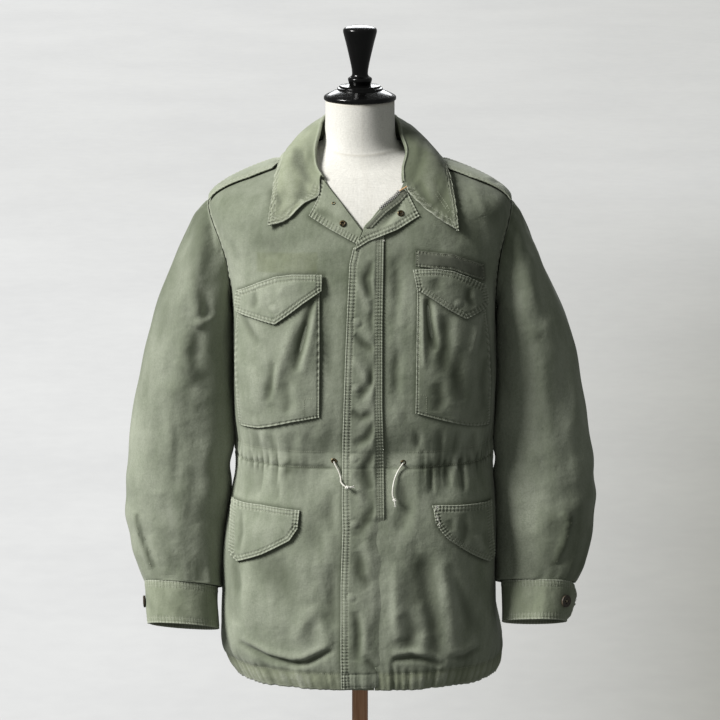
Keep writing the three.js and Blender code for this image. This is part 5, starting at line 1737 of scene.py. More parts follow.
def seam_relief(distances, seams, phase=0.0):
    """Stitched grooves along edges, with the puckers that washing draws up between them."""
    relief = np.zeros(next(iter(distances.values()))[0].shape)
    wear_and_light = np.zeros(relief.shape)
    for side, insets in seams.items():
        d, along = distances[side]
        outermost = max(insets)
        band = (1 - smooth_step(outermost, outermost + 3.5, d))
        for inset in insets:
            relief = relief - 0.75 * bell(d, inset, 1.2)
        wave = np.sin(along * TAU / SEAM_PUCKER + 1.7 * np.sin(along / 17 + phase) + phase)
        relief = relief + band * 0.62 * wave * (0.65 + 0.35 * np.sin(along / 29 + phase))
        wear_and_light = np.maximum(wear_and_light, band * (0.04 + 0.55 * np.clip(wave, 0, 1)))
        wear_and_light = np.maximum(wear_and_light, np.exp(-((d / 1.7) ** 2)) * (0.62 + 0.38 * wave))
    return relief, wear_and_light


def stud(flat, x, z):
    """The round mark of a snap under the cloth: height and rubbed centre."""
    r = np.hypot(flat[..., 0] - x, flat[..., 1] - z)
    height = 0.8 * bell(r, 0, 5.0) - 0.45 * bell(r, 7.4, 1.8)
    rubbed_and_lit = 0.6 * bell(r, 0, 3.4) + 0.15 * bell(r, 6, 2.0)
    return height, rubbed_and_lit


def add_studs(relief, wear_and_light, flat, places):
    for x, z in places:
        mark, rubbed_and_lit = stud(flat, x, z)
        relief = relief + mark
        wear_and_light = wear_and_light + rubbed_and_lit
    return relief, wear_and_light


def sew_seams(place, grid, distances, seams, flip=False):
    """Stitches at each inset of each edge, ended where the next edge's row crosses."""
    normals = grid_normals(grid, flip, False)
    for side, insets in seams.items():
        rows = distances[side][0]
        places = grid
        ups = normals
        others = [distances[other][0] for other in distances if other != side and other in seams]
        if side in ("left", "right"):
            rows = rows.T
            places = np.swapaxes(places, 0, 1)
            ups = np.swapaxes(ups, 0, 1)
            others = [gap.T for gap in others]
        if side in ("head", "right"):
            rows = rows[::-1]
            places = places[::-1]
            ups = ups[::-1]
            others = [gap[::-1] for gap in others]
        for inset in insets:
            path = []
            normal_path = []
            for c in range(rows.shape[1]):
                over = np.nonzero(rows[:, c] >= inset)[0]
                if not len(over) or over[0] == 0:
                    continue
                r = over[0]
                if any(gap[r, c] < inset * 0.9 for gap in others):
                    continue
                f = (inset - rows[r - 1, c]) / max(rows[r, c] - rows[r - 1, c], 1e-6)
                path.append(places[r - 1, c] + (places[r, c] - places[r - 1, c]) * f)
                normal_path.append(ups[r, c])
            if len(path) > 4:
                sew(place, np.array(path), np.array(normal_path))


def nearest_on(grid, normals, points):
    """The points of a piece's face at given x and z."""
    flat = grid.reshape(-1, 3)
    ups = normals.reshape(-1, 3)
    found = []
    found_ups = []
    for x, z in points:
        k = np.argmin((flat[:, 0] - x) ** 2 + (flat[:, 2] - z) ** 2)
        n = ups[k]
        y = flat[k, 1] - (n[0] * (x - flat[k, 0]) + n[2] * (z - flat[k, 2])) / min(n[1], -0.2)
        found.append((x, y, z))
        found_ups.append(n)
    return np.array(found), np.array(found_ups)


def sew_line(place, grid, normals, corners, material=None):
    length = np.linalg.norm(np.diff(np.array(corners, float), axis=0), axis=1).sum()
    shares = np.linspace(0, 1, max(int(length / 1.5), 4))
    path, ups = nearest_on(grid, normals, edge_line(corners, shares))
    sew(place, path, ups, material)


def sew_slit(sleeve, left):
    """A row of stitches on each side of the slit above the cuff."""
    front = sleeve[:, 2:45]
    normals = grid_normals(sleeve, left, True)[:, 2:45]
    for shift in (-4.0, 3.5):
        row = [[x + shift, z] for x, z in SLEEVE_SLIT[left]]
        sew_line("cloth_sleeve_left" if left else "cloth_sleeve_right", front, normals, row)


sew_slit(sleeve_right, False)
sew_slit(sleeve_left, True)


def laid_piece(name, node, edges, across, up, wall, height, seams, material=None, creases=(),
               studs=(), wear=0.3, draped=1.0, sunned=0.0, ends=0.72,
               shade=0.0, shadow_edges=()):
    """A cut piece sewn on a front: its height over the cloth is a function of u and v."""
    u = ends_dense(across, ends)
    v = ends_dense(up, ends)
    flat = four_sided(edges, u, v)
    distances = edge_distances(flat, edges)
    relief, wear_and_light = seam_relief(distances, seams, len(name) * 0.7)
    x = flat[..., 0]
    z = flat[..., 1]
    extra = add_creases(np.zeros(relief.shape), x, z, creases, 1.0, 1.35)
    rim = np.ones(relief.shape)
    for side in seams:
        rim = np.minimum(rim, smooth_step(0, 9, distances[side][0]))
    extra = extra * (0.25 + 0.75 * rim)
    relief, wear_and_light = add_studs(relief, wear_and_light, flat, studs)
    small = 0.3 * np.sin(x / 7.3 + np.sin(z / 19)) * np.sin(z / 11)
    small = small + 0.4 * np.sin(x / 13 + 1.4 * np.sin(z / 17)) * np.sin(z / 23)
    out = height(u[None, :], v[:, None]) + relief + extra + small
    grid = on_front(x, z, out, draped)
    crest, shade_and_marks = wear_and_trough_shade(extra + small, wear, 0.9)
    # Painted shade in the stitched grooves and, by the shade amount, over the whole piece; then a
    # painted shadow below each edge that lies over it.
    shade_and_marks = shade_and_marks + 0.65 * np.clip(-relief, 0, 1) + shade
    for edge in shadow_edges:
        shade_and_marks = shade_and_marks + 0.8 * shaded_edge(x, z, edge, 4.5)
    cloth_piece(name, grid, wall, material or sage_cotton, [node], False, False,
                wear_and_light + crest, shade_and_marks, sunned)
    sew_seams(name, grid, distances, seams)
    return grid


def pocket_swell(u, v):
    return FIRST_LAYER + 0.9 + 2.5 * np.sin(math.pi * u) * np.sin(math.pi * v)


def flap_lift(u, v):
    return FLAP_LAYER - 2.2 * v ** 3 + 1.5 * np.sin(math.pi * u) * (1 - v)


def hip_lift(u, v):
    return LAY_GAP + 0.5 + DOUBLE_CLOTH + 1.6 * (1 - v) + 0 * u


LEFT_POCKET_SEAT = 0.6
POCKET_CREASES_RIGHT = [
    ([[-66, 1290], [-76, 1250], [-84, 1215], [-91, 1186]], 5.0, 3.4),
    ([[-88, 1262], [-100, 1224], [-112, 1190], [-124, 1160]], 8.0, -2.4),
    ([[-120, 1200], [-124, 1168], [-132, 1138]], 4.6, 2.6),
    ([[-166, 1262], [-152, 1238], [-140, 1222]], 6.0, 2.0),
    ([[-150, 1190], [-140, 1150], [-146, 1120]], 10.0, -1.4),
    ([[-104, 1170], [-100, 1140], [-106, 1122]], 7.0, 1.5),
]
POCKET_CREASES_LEFT = [
    ([[94, 1290], [98, 1256], [106, 1216]], 5.0, 3.2),
    ([[88, 1296], [88, 1240], [90, 1190]], 4.5, -1.8),
    ([[118, 1266], [120, 1220], [116, 1180]], 9.0, 2.2),
    ([[166, 1262], [162, 1236], [156, 1208]], 5.5, -2.4),
    ([[140, 1220], [136, 1180], [142, 1140]], 10.0, 2.0),
    ([[108, 1170], [114, 1146], [108, 1126]], 8.0, 1.6),
    ([[176, 1200], [172, 1160], [176, 1120]], 7.0, 1.6),
]


def add_pocket(side, edges, height, creases, flap, shade, corner):
    """A chest pocket bag, with a stitched corner box."""
    name = "pocket_bag_" + side
    made = laid_piece(name, "chest_pocket_" + side, edges, 62, 96, CLOTH, height,
                      {"foot": (2.2,), "left": (2.0,), "right": (2.0,)}, creases=creases,
                      shadow_edges=[flap["foot"]], shade=shade)
    sew_line(name, made, grid_normals(made, False, False), corner)


add_pocket("right", POCKET_RIGHT, pocket_swell, POCKET_CREASES_RIGHT, POCKET_FLAP_RIGHT, 0.06,
           [[-79, 1118], [-79, 1147], [-60, 1148]])
add_pocket("left", POCKET_LEFT, lambda u, v: pocket_swell(u, v) - LEFT_POCKET_SEAT,
           POCKET_CREASES_LEFT, POCKET_FLAP_LEFT, 0.30, [[94, 1121], [94, 1152], [82, 1153]])

FLAP_SEAMS = {"foot": (2.0, 6.2), "left": (2.0, 6.2), "right": (2.0, 6.2), "head": (2.0, 7.0)}
laid_piece("pocket_flap_right", "chest_flap_right", POCKET_FLAP_RIGHT, 84, 48, DOUBLE_CLOTH,
           lambda u, v: flap_lift(u, v) - 0.3, FLAP_SEAMS, studs=[(-119, 1275)],
           creases=[([[-146, 1300], [-144, 1284], [-148, 1270]], 5.0, 1.5),
                    ([[-106, 1312], [-112, 1292]], 8.0, -0.8)])
laid_piece("pocket_flap_left", "chest_flap_left", POCKET_FLAP_LEFT, 84, 48, DOUBLE_CLOTH,
           lambda u, v: flap_lift(u, v) - LEFT_POCKET_SEAT - 1.0, FLAP_SEAMS, studs=[(136, 1282)],
           creases=[([[152, 1302], [150, 1288], [158, 1274]], 4.5, 1.8),
                    ([[104, 1318], [110, 1300]], 8.0, 1.0)],
           shade=0.48)
HIP_SEAMS = {"foot": (2.0, 6.2), "left": (2.0, 6.2), "right": (2.0, 6.2), "head": (2.0, 7.2)}
laid_piece("hip_pocket_flap_right", "hip_flap_right", HIP_FLAP_RIGHT, 76, 62, DOUBLE_CLOTH,
           hip_lift, HIP_SEAMS, creases=[([[-170, 972], [-168, 940], [-172, 912]], 3.6, 1.4),
                                         ([[-150, 960], [-130, 950], [-110, 956]], 14.0, -1.2)])
laid_piece("hip_pocket_flap_left", "hip_flap_left", HIP_FLAP_LEFT, 76, 62, DOUBLE_CLOTH,
           hip_lift, HIP_SEAMS, creases=[([[166, 940], [170, 925], [174, 912]], 5.0, -2.0),
                                         ([[146, 972], [150, 944], [144, 924]], 6.0, 1.3),
                                         ([[126, 966], [130, 950]], 6.0, 0.9)],
           shade=0.15)
laid_piece("breast_tape", "name_tape", TAPE, 50, 16, 1.0, lambda u, v: LAY_GAP + 1.0 + 0 * u * v,
           {"foot": (1.6,), "head": (1.6,), "left": (1.6,), "right": (1.6,)}, tape_cotton,
           wear=0.2)


FLY_STUDS = [(-4, 1257), (-5, 1163), (-8.5, 1059), (-7, 963), (-12, 856)]
FLY_CREASES = [
    ([[18, 1344], [10, 1318], [14, 1290]], 6.0, 2.6),
    ([[-8, 1320], [4, 1300], [16, 1270]], 6.0, -1.8),
    ([[26, 1300], [18, 1262], [24, 1230]], 6.0, 2.4),
    ([[-8, 1240], [6, 1226], [24, 1216]], 6.5, 2.6),
    ([[-10, 1206], [4, 1190], [14, 1160]], 6.0, -2.0),
    ([[26, 1200], [16, 1172], [-2, 1146]], 6.5, 3.0),
    ([[-12, 1130], [2, 1120], [20, 1128]], 6.0, 2.4),
    ([[24, 1116], [10, 1090], [-8, 1078]], 6.5, 2.4),
    ([[20, 1070], [8, 1044], [16, 1012]], 7.0, 2.6),
    ([[-14, 1036], [0, 1016], [4, 988]], 6.0, -1.8),
    ([[24, 996], [10, 968], [-6, 944]], 8.0, 2.6),
    ([[4, 936], [22, 914], [40, 900]], 10.0, -2.4),
    ([[0, 924], [2, 890], [14, 868]], 9.0, 2.6),
    ([[20, 880], [26, 846], [16, 806]], 9.0, -2.6),
    ([[-6, 836], [-2, 800], [-4, 760]], 6.0, 2.8),
    ([[6, 770], [20, 750], [36, 742]], 5.0, 2.0),
]
FLY_SEAM_END = 974
FLY_LEFT_ROWS = (2.2, 8.5)
FLY_RIGHT_ROWS = (1.8, 5.4, 9.0)


def add_fly():
    """The double flap over the zip; below the zip seam its right side lies in the front."""
    u = ends_dense(44, 0.6)
    v = np.linspace(0, 1, 380)
    flat = four_sided(FLY, u, v)
    distances = edge_distances(flat, FLY)
    x = flat[..., 0]
    z = flat[..., 1]
    above = smooth_step(FLY_SEAM_END - 10, FLY_SEAM_END + 2, z)
    left_relief, left_worn = seam_relief(distances, {"left": FLY_LEFT_ROWS}, 0.4)
    right_relief, right_worn = seam_relief(distances, {"right": FLY_RIGHT_ROWS}, 1.9)
    foot_relief, foot_worn = seam_relief(distances, {"foot": (2.0, 22.0)}, 2.2)
    relief = left_relief + right_relief * above + foot_relief
    wear_and_light = left_worn + 0.7 * right_worn * above + foot_worn
    # Painted shade in the stitched grooves.
    seam_groove_shade = 0.5 * np.clip(-relief, 0, 1)
    extra = add_creases(np.zeros(relief.shape), x, z, FLY_CREASES, 1.0, 1.15)
    free = smooth_step(3, 13, distances["left"][0])
    free = free * (smooth_step(9, 16, distances["right"][0]) * above + 1 - above)
    extra = 0.8 * extra * free
    relief, wear_and_light = add_studs(relief, wear_and_light, flat, FLY_STUDS)
    sunk = smooth_step(0.45, 0.97, u[None, :]) * (1 - above)
    height = FLY_LAYER - (FLY_LAYER + 1.0) * sunk
    height = height - 1.0 * smooth_step(0.70, 1.0, u[None, :]) * above
    out = height + relief * (1 - sunk) + extra * (1 - 0.7 * sunk)
    grid = on_front(x, z, out, 1.0)
    # Painted shade in the crease troughs and evenly over the whole fly.
    crest, shade_and_marks = wear_and_trough_shade(extra, 0.4, 1.4)
    shade_and_marks = shade_and_marks + 0.10
    waist = 0.08 * bell(z, 1054, 22)
    cloth_piece("fly_cloth", grid, DOUBLE_CLOTH, sage_cotton, ["fly_flap"], False, False,
                wear_and_light + crest + waist, shade_and_marks + seam_groove_shade, 0.0)
    sew_seams("fly_cloth", grid, distances, {"left": FLY_LEFT_ROWS})
    gap, share = distances["right"]
    row = {"right": (np.where(z > FLY_SEAM_END, gap, -1.0), share)}
    sew_seams("fly_cloth", grid, row, {"right": FLY_RIGHT_ROWS})
    end_row = [[33.5, FLY_SEAM_END + 1], [24.5, FLY_SEAM_END + 1]]
    sew_line("fly_cloth", grid, grid_normals(grid, False, False), end_row)


add_fly()


def left_lapel_lift(u, v):
    return FIRST_LAYER + 3.0 * (1 - smooth_step(0.46, 0.80, v)) + 0 * u


LAPEL_SEAMS = {"left": (2.0, 7.0), "head": (2.0,)}
laid_piece("turned_front_right", "lapel_right", LAPEL_RIGHT, 40, 60, CLOTH,
           lambda u, v: FIRST_LAYER + 0 * u * v, LAPEL_SEAMS, draped=0.0, wear=0.3, sunned=0.1,
           creases=[([[-60, 1412], [-40, 1404], [-20, 1392]], 5.0, 1.2)],
           ends=0.5)
lapel_grid = laid_piece(
    "turned_front_left", "lapel_left", LAPEL_LEFT, 40, 60, CLOTH, left_lapel_lift,
    {"right": (2.0, 7.0), "head": (2.0,)}, draped=0.0, wear=0.3, sunned=0.1,
    creases=[([[60, 1420], [40, 1400], [24, 1386]], 5.0, 1.4)],
    ends=0.5)
laid_piece("zip_band", "zip_tape", ZIP_TAPE, 8, 50, 1.0,
           lambda u, v: left_lapel_lift(u, v) + LAY_GAP + 1.0, {"right": (1.5,)}, tape_cotton,
           draped=0.0, wear=0.1, ends=0.2)

# Shoulder straps: edges in x and y
STRAP = {
    "foot": [[112, -16], [124, -34], [157, -36], [213, -25]],
    "head": [[112, 4], [124, 20], [157, 22], [213, 23]],
    "left": [[112, -16], [108, -6], [112, 4]],
    "right": [[213, -25], [213, 23]],
}


def add_strap(side_name, side):
    u = ends_dense(64, 0.6)
    v = ends_dense(30, 0.6)
    flat = four_sided(STRAP, u, v)
    distances = edge_distances(flat, STRAP)
    seams = {"foot": (2.2, 7.2), "head": (2.2, 7.2), "left": (2.2, 7.2)}
    relief, wear_and_light = seam_relief(distances, seams, side)
    extra = crease(flat[..., 0], flat[..., 1], [[186, -24], [196, 0], [188, 18]], 5.0, 1.2)
    out = STRAP_LAYER + relief + extra
    grid = on_shoulder(side * flat[..., 0], flat[..., 1], out)
    name = "strap_cloth_" + side_name
    flip = side < 0
    crest, shade_and_marks = wear_and_trough_shade(extra, 0.3, 0.4)
    cloth_piece(name, grid, DOUBLE_CLOTH, sage_cotton, ["shoulder_strap_" + side_name],
                flip, False, wear_and_light + crest + 0.12, shade_and_marks, 0.1)
    sew_seams(name, grid, distances, seams, flip)


add_strap("right", -1)
add_strap("left", 1)

# Collar: roll x, y and z, outer edge x and y, and lift of that edge, from its front to the back
COLLAR_RIGHT = np.array([
    [-54, -81, 1457, -128, -106, 3.2],
    [-62, -62, 1469, -123, -88, 3.6],
    [-64, -42, 1490, -120, -62, 5.6],
    [-59, -18, 1511, -115, -31, 7.0],
    [-56, 8, 1523, -107, 6, 7.4],
    [-48, 35, 1528, -92, 48, 6.2],
    [-28, 55, 1531, -52, 82, 6.0],
    [0, 62, 1532, 0, 94, 6.0],
])
COLLAR_LEFT = np.array([
    [62, -80, 1449, 137, -106, 4.0],
    [62, -62, 1466, 132, -86, 4.6],
    [67, -42, 1487, 127, -60, 5.8],
    [60, -18, 1507, 120, -31, 7.4],
    [56, 8, 1522, 111, 6, 7.4],
    [48, 35, 1528, 94, 48, 6.2],
    [28, 55, 1531, 53, 82, 6.0],
    [0, 62, 1532, 0, 94, 6.0],
])
COLLAR_SEAM = np.array([
    [20.0, 0.98],
    [20.4, 0.83],
    [20.8, 0.62],
    [21.0, 0.36],
    [21.0, 0.0],
    [21.0, -0.52],
    [21.0, -1.02],
    [21.0, -1.5708],
])
COLLAR_ROWS = (2.4, 8.5)
COLLAR_PUCKER = 4.9
COLLAR_ROLL = 3.2
COLLAR_BULGE = 5
COLLAR_NOTCH_RIGHT = [[-56.5, 1437], [-60, 1428.6], [-78, 1420], [-103, 1398], [-128, 1388.5]]
COLLAR_NOTCH_LEFT = [[66, 1439], [70.5, 1431.6], [88, 1417], [111, 1399.5], [137, 1381.5]]


def collar_controls(rows, notch, side, at):
    """The control points of the collar's section at each station: seam, stand, roll and leaf."""
    roll_x, roll_y, roll_z, edge_x, edge_y, lift = np.moveaxis(smooth_row(rows, at), -1, 0)
    level, turn = np.moveaxis(smooth_row(COLLAR_SEAM, at), -1, 0)
    on_edge = body_smooth(turn if side > 0 else math.pi - turn, np.minimum(level, NECK_LEVEL))
    inward = unit(on_edge * np.array([-1.0, -1.0, 0.0]))
    seam = on_edge + inward * 0.4 + np.array([0, 0, 1.1])
    roll = np.stack([roll_x, roll_y, roll_z], axis=1)
    out = unit(np.stack([edge_x - roll_x, edge_y - roll_y, 0 * roll_x], axis=1))
    down = np.array([0, 0, -2.0])
    inner = roll - out * COLLAR_ROLL + down
    top = roll + np.array([0, 0, 1.4])
    outer = roll + out * COLLAR_ROLL + down
    edge = on_shoulder(edge_x, edge_y, lift)
    leaf = []
    for f in (0.2, 0.4, 0.6, 0.8, 1.0):
        swell = COLLAR_BULGE * math.sin(math.pi * f)
        leaf.append(outer + (edge - outer) * f + out * swell * 0.5 + np.array([0, 0, swell]))
    near = (np.maximum(1 - at, 0) ** 2)[:, None]
    for i, (x, z) in enumerate(notch):
        target = on_front(np.array([x]), np.array([z]), 3.8, 0.0)
        leaf[i] = leaf[i] + (target - leaf[i]) * near
    return np.stack([seam, (seam + inner) / 2, inner, top, outer, *leaf], axis=0)


COLLAR_CREASES = [
    ([[-96, 1494], [-80, 1470], [-66, 1446]], 6.0, 2.2),
    ([[-108, 1470], [-96, 1440], [-100, 1412]], 7.0, -1.8),
    ([[-84, 1452], [-78, 1430], [-86, 1412]], 5.0, 1.6),
    ([[-122, 1440], [-112, 1420], [-118, 1402]], 4.0, 1.4),
    ([[-60, 1500], [-66, 1476], [-58, 1458]], 5.0, 1.6),
    ([[92, 1500], [84, 1476], [70, 1452]], 6.0, 2.2),
    ([[112, 1476], [98, 1446], [104, 1420]], 7.0, -1.8),
    ([[126, 1450], [118, 1424], [130, 1404]], 5.0, 1.8),
    ([[80, 1450], [92, 1430], [100, 1408]], 5.0, 1.8),
    ([[62, 1496], [68, 1476], [62, 1460]], 5.0, 1.4),
]


# Short mending rows on the two collar points
COLLAR_TACKS = [
    [[109, 1436], [124, 1416]],
    [[106, 1433], [121, 1413]],
    [[121, 1417], [127, 1412], [123, 1408]],
    [[-114, 1415], [-109, 1411], [-114, 1407], [-117, 1411], [-114, 1415]],
]


def add_collar():
    """One grid from the wearer's right front edge round the neck to the left."""
    at = 7 * (ends_dense(84, 0.55))
    right = collar_controls(COLLAR_RIGHT, COLLAR_NOTCH_RIGHT, -1, at)
    left = collar_controls(COLLAR_LEFT, COLLAR_NOTCH_LEFT, 1, at)
    controls = np.concatenate([right, left[:, ::-1][:, 1:]], axis=1)
    stand = np.linspace(0, 4, 22)[:-1]
    fall = 4 + 5 * (1 - (1 - np.linspace(0, 1, 40)) ** 1.35)
    section = np.concatenate([stand, fall])
    flat_controls = controls.reshape(len(controls), -1)
    grid = smooth_row(flat_controls, section).reshape(len(section), -1, 3)
    normals = grid_normals(grid, False, False)
    up = arc_lengths(grid, 0)
    across = arc_lengths(grid, 1)
    edge_gap = up[-1:] - up
    front_gap = np.minimum(across, across[:, -1:] - across)
    on_leaf = smooth_step(4.2, 5.2, section)[:, None]
    wave = np.sin(across * TAU / COLLAR_PUCKER + 1.5 * np.sin(across / 21))
    edge_band = 1 - smooth_step(9, 13, edge_gap)
    front_band = 1 - smooth_step(9, 13, front_gap)
    relief = 0.75 * wave * edge_band
    near_row, far_row = COLLAR_ROWS
    relief = relief - 0.7 * bell(edge_gap, near_row, 1.3) - 0.7 * bell(edge_gap, far_row, 1.3)
    front_wave = np.sin(up * TAU / COLLAR_PUCKER + 1.5 * np.sin(up / 13))
    relief = relief + (0.6 * front_wave * front_band - 0.7 * bell(front_gap, near_row, 1.3)
                       - 0.7 * bell(front_gap, far_row, 1.3)) * on_leaf
    ripple = 1.1 * np.sin(across / 13.0 + 2.2 * np.sin(up / 23)) * np.sin(up / 19 + across / 37)
    tip = np.exp(-((front_gap / 55) ** 2))
    relief = relief * on_leaf + ripple * on_leaf * (0.5 + 0.5 * tip) * (1 - 0.6 * edge_band)
    drawn = np.zeros(relief.shape)
    drawn = add_creases(drawn, grid[..., 0], grid[..., 2], COLLAR_CREASES, 1.2, 0.65)
    drawn = drawn * on_leaf * (1 - 0.7 * np.maximum(edge_band, front_band))
    relief = relief + drawn
    stand_rows = 0.3 * np.sin(up / 1.0) * (1 - on_leaf) * 0.4
    sprung = 4.0 * smooth_step(34, 0, edge_gap) * tip * on_leaf
    grid = grid + normals * (relief + stand_rows + sprung)[..., None]
    rubbed_edge = np.exp(-((edge_gap / 1.7) ** 2)) * (0.62 + 0.38 * wave)
    wear_and_light = on_leaf * (edge_band * (0.04 + 0.6 * np.clip(wave, 0, 1)) + rubbed_edge)
    wear_and_light = wear_and_light + on_leaf * (front_band * (0.04 + 0.5 * np.clip(front_wave, 0, 1))
                             + 0.9 * np.exp(-((front_gap / 1.6) ** 2)))
    wear_and_light = wear_and_light + 0.3 * np.clip(drawn / 2, 0, 1)
    rolled = bell(section, 3.0, 0.55)[:, None]
    # Pale along the roll line with wear, and painted light over the wearer's right leaf.
    wear_and_light = wear_and_light + 0.45 * rolled + 0.22 * on_leaf * smooth_step(-40, -80, grid[..., 0])
    # Painted shade at the foot of the stand, in the troughs of ripples, creases and grooves, and
    # over the wearer's left leaf.
    shade_and_marks = 0.3 * (1 - smooth_step(0.0, 1.6, section))[:, None]
    shade_and_marks = shade_and_marks + 0.2 * np.clip(-ripple / 2, 0, 1) * on_leaf
    shade_and_marks = shade_and_marks + 0.25 * np.clip(-drawn / 2, 0, 1) + 0.7 * np.clip(-relief, 0, 1) * on_leaf
    shade_and_marks = shade_and_marks + 0.9 * smooth_step(20, 70, grid[..., 0])
    cloth_piece("collar_cloth", grid, DOUBLE_CLOTH - 0.2, sage_cotton, ["collar"],
                False, False, wear_and_light, shade_and_marks, 0.35 + 0.2 * on_leaf)
    normals = grid_normals(grid, False, False)
    for inset in COLLAR_ROWS:
        path, ups = inset_row(grid, normals, "head", inset, (inset, inset))
        sew("collar_cloth", path, ups)
        for side in ("left", "right"):
            path, ups = inset_row(grid, normals, side, inset)
            reach = line_lengths(path)
            keep = (reach > 46) & (reach < reach[-1] - inset)
            sew("collar_cloth", path[keep], ups[keep])
    leaf = int(0.6 * len(section))
    for corners in COLLAR_TACKS:
        sew_line("collar_cloth", grid[leaf:], normals[leaf:], corners)


add_collar()

# Cuffs: middle x, half width, middle y, half depth, middle z and slope, from the top down
CUFF_RIGHT = np.array([
    [-260, 51, -28, 38.5, 844.5, 0.085],
    [-259, 50.5, -34, 39.5, 815, 0.08],
    [-257, 50, -40, 41, 785, 0.07],
])
CUFF_LEFT = np.array([
    [259, 52, -28, 38.5, 848, -0.02],
    [258.5, 50, -34, 39.5, 820, 0],
    [255, 46.5, -40, 41, 792, 0],
])
CUFF_PUCKER = 4.9
CUFF_TILT = 0.38
CUFF_LAP_GAP = 0.8
CUFF_SPREAD = 1.0
CUFF_SWEEP = 7.48
CUFF_START = {-1: 0.75, 1: 1.35}
TAB_LENGTH = 0.44
TAB_FLARE = 3.5
CUFF_WALL = CLOTH + 0.4


def cuff_point(rows, side, level, turn, out):
    """Turn is measured from the outer side towards the front."""
    row = smooth_row(rows, level)
    middle_x, half_x, middle_y, half_y, middle_z, slope = np.moveaxis(row, -1, 0)
    dx = (half_x + out) * np.cos(turn)
    dy = -(half_y + out) * np.sin(turn)
    z = middle_z + slope * dx - CUFF_TILT * dy
    return np.stack([middle_x + side * dx, middle_y + dy, z], axis=-1)


def cuff_rise(swept):
    return np.clip((swept - TAU + 0.35) / 0.3, 0, 1) * (CUFF_WALL + CUFF_LAP_GAP)


def add_cuff(name, node, rows, side):
    swept = np.linspace(0, CUFF_SWEEP, 190)
    v = ends_dense(30, 0.6)
    past = np.maximum(0, 1 - (CUFF_SWEEP - swept) / TAB_LENGTH)
    narrow = 1 - 0.75 * past ** 2
    level = 1 + (2 * v[:, None] - 1) * narrow
    turn = CUFF_START[side] - swept
    out = CUFF_SPREAD + cuff_rise(swept) + TAB_FLARE * past
    flat = cuff_point(rows, side, level, np.broadcast_to(turn, level.shape),
                      np.broadcast_to(out, level.shape))
    flip = side > 0
    normals = grid_normals(flat, flip, False)
    up = arc_lengths(flat, 0)
    across = arc_lengths(flat, 1)
    foot_gap = up[-1:] - up
    tab_gap = across[:, -1:] - across
    wave = np.sin(across * TAU / CUFF_PUCKER + 1.6 * np.sin(across / 19))
    relief = np.zeros(level.shape)
    wear_and_light = np.zeros(level.shape)
    for gap, insets in ((up, (2.2, 8.0)), (foot_gap, (2.2, 7.5)), (tab_gap, (2.4, 7.5))):
        band = 1 - smooth_step(8, 12, gap)
        for inset in insets:
            relief = relief - 0.45 * bell(gap, inset, 1.3)
        relief = relief + 0.5 * band * wave
        wear_and_light = wear_and_light + band * (0.08 + 0.45 * np.clip(wave, 0, 1))
        wear_and_light = wear_and_light + np.exp(-((gap / 1.7) ** 2)) * (0.62 + 0.38 * wave)
    soft = 0.8 * np.sin(across / 12 + up / 9) * np.sin(across / 23)
    grid = flat + normals * (relief + 0.5 * soft)[..., None]
    # Painted shade in the troughs and stitched grooves.
    shade_and_marks = 0.35 * np.clip(-soft, 0, 1) + 0.5 * np.clip(-relief, 0, 1)
    cloth_piece(name, grid, CUFF_WALL, sage_cotton, [node], flip, False,
                wear_and_light, shade_and_marks, 0.22)
    normals = grid_normals(grid, flip, False)
    for edge, insets in (("foot", (2.2, 8.0)), ("head", (2.2, 7.5)), ("right", (2.4,))):
        for inset in insets:
            path, ups = inset_row(grid, normals, edge, inset, (3.0, 3.0))
            sew(name, path, ups)
    column = int(0.62 * len(swept)) if side < 0 else int(0.28 * len(swept))
    sew(name, grid[3:-3, column], normals[3:-3, column])
    return grid


add_cuff("cuff_cloth_right", "cuff_right", CUFF_RIGHT, -1)
cuff_grid_left = add_cuff("cuff_cloth_left", "cuff_left", CUFF_LEFT, 1)


# Hard pieces, modelled with Blender's own tools in metres and then stood in their place

def deselect_all():
    for other in bpy.context.selected_objects:
        other.select_set(False)


def start_piece(name, material, add, **settings):
    """A primitive at its size, named and selected on its own."""
    deselect_all()
    add(**settings)
    piece = bpy.context.active_object
    piece.name = name
    piece.data.name = name
    piece.data.materials.clear()
    piece.data.materials.append(material)
    return piece


def pick_faces(piece, test):
    """Selects the faces whose centre and normal pass a test, in edit mode."""
    bpy.ops.object.mode_set(mode="EDIT")
    mesh = bmesh.from_edit_mesh(piece.data)
    bpy.ops.mesh.select_mode(type="FACE")
    for face in mesh.faces:
        face.select_set(bool(test(face.calc_center_median(), face.normal)))
    bmesh.update_edit_mesh(piece.data)


def leave_edit():
    bpy.ops.object.mode_set(mode="OBJECT")


def bevel_edges(piece, width, segments, angle=35):
    modifier = piece.modifiers.new("rounded_edges", "BEVEL")
    modifier.width = width
    modifier.segments = segments
    modifier.limit_method = "ANGLE"
    modifier.angle_limit = math.radians(angle)
    bpy.context.view_layer.objects.active = piece
    bpy.ops.object.modifier_apply(modifier=modifier.name)


def stand_on(piece, point, axis, turn=0.0):
    """Moves a piece's mesh, made round the origin with its axis along Z, to its place."""
    way = Vector(axis).to_track_quat("Z", "Y").to_matrix().to_4x4()
    spin = Matrix.Rotation(turn, 4, "Z")
    place = Matrix.Translation(Vector(point) * MM)
    piece.data.transform(place @ way @ spin)
    piece.data.update()


def finish_hard(piece, replaces=(), smooth_angle=35):
    deselect_all()
    piece.select_set(True)
    bpy.context.view_layer.objects.active = piece
    bpy.ops.object.shade_smooth_by_angle(angle=math.radians(smooth_angle))
    for modifier in list(piece.modifiers):
        bpy.ops.object.modifier_apply(modifier=modifier.name)
    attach(piece, "root")
    for node in replaces:
        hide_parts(node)


BUTTON_RADIUS = 9.0
BUTTON_THICKNESS = 2.6
BUTTON_HOLE = 1.1
BUTTON_HOLE_REACH = 2.0


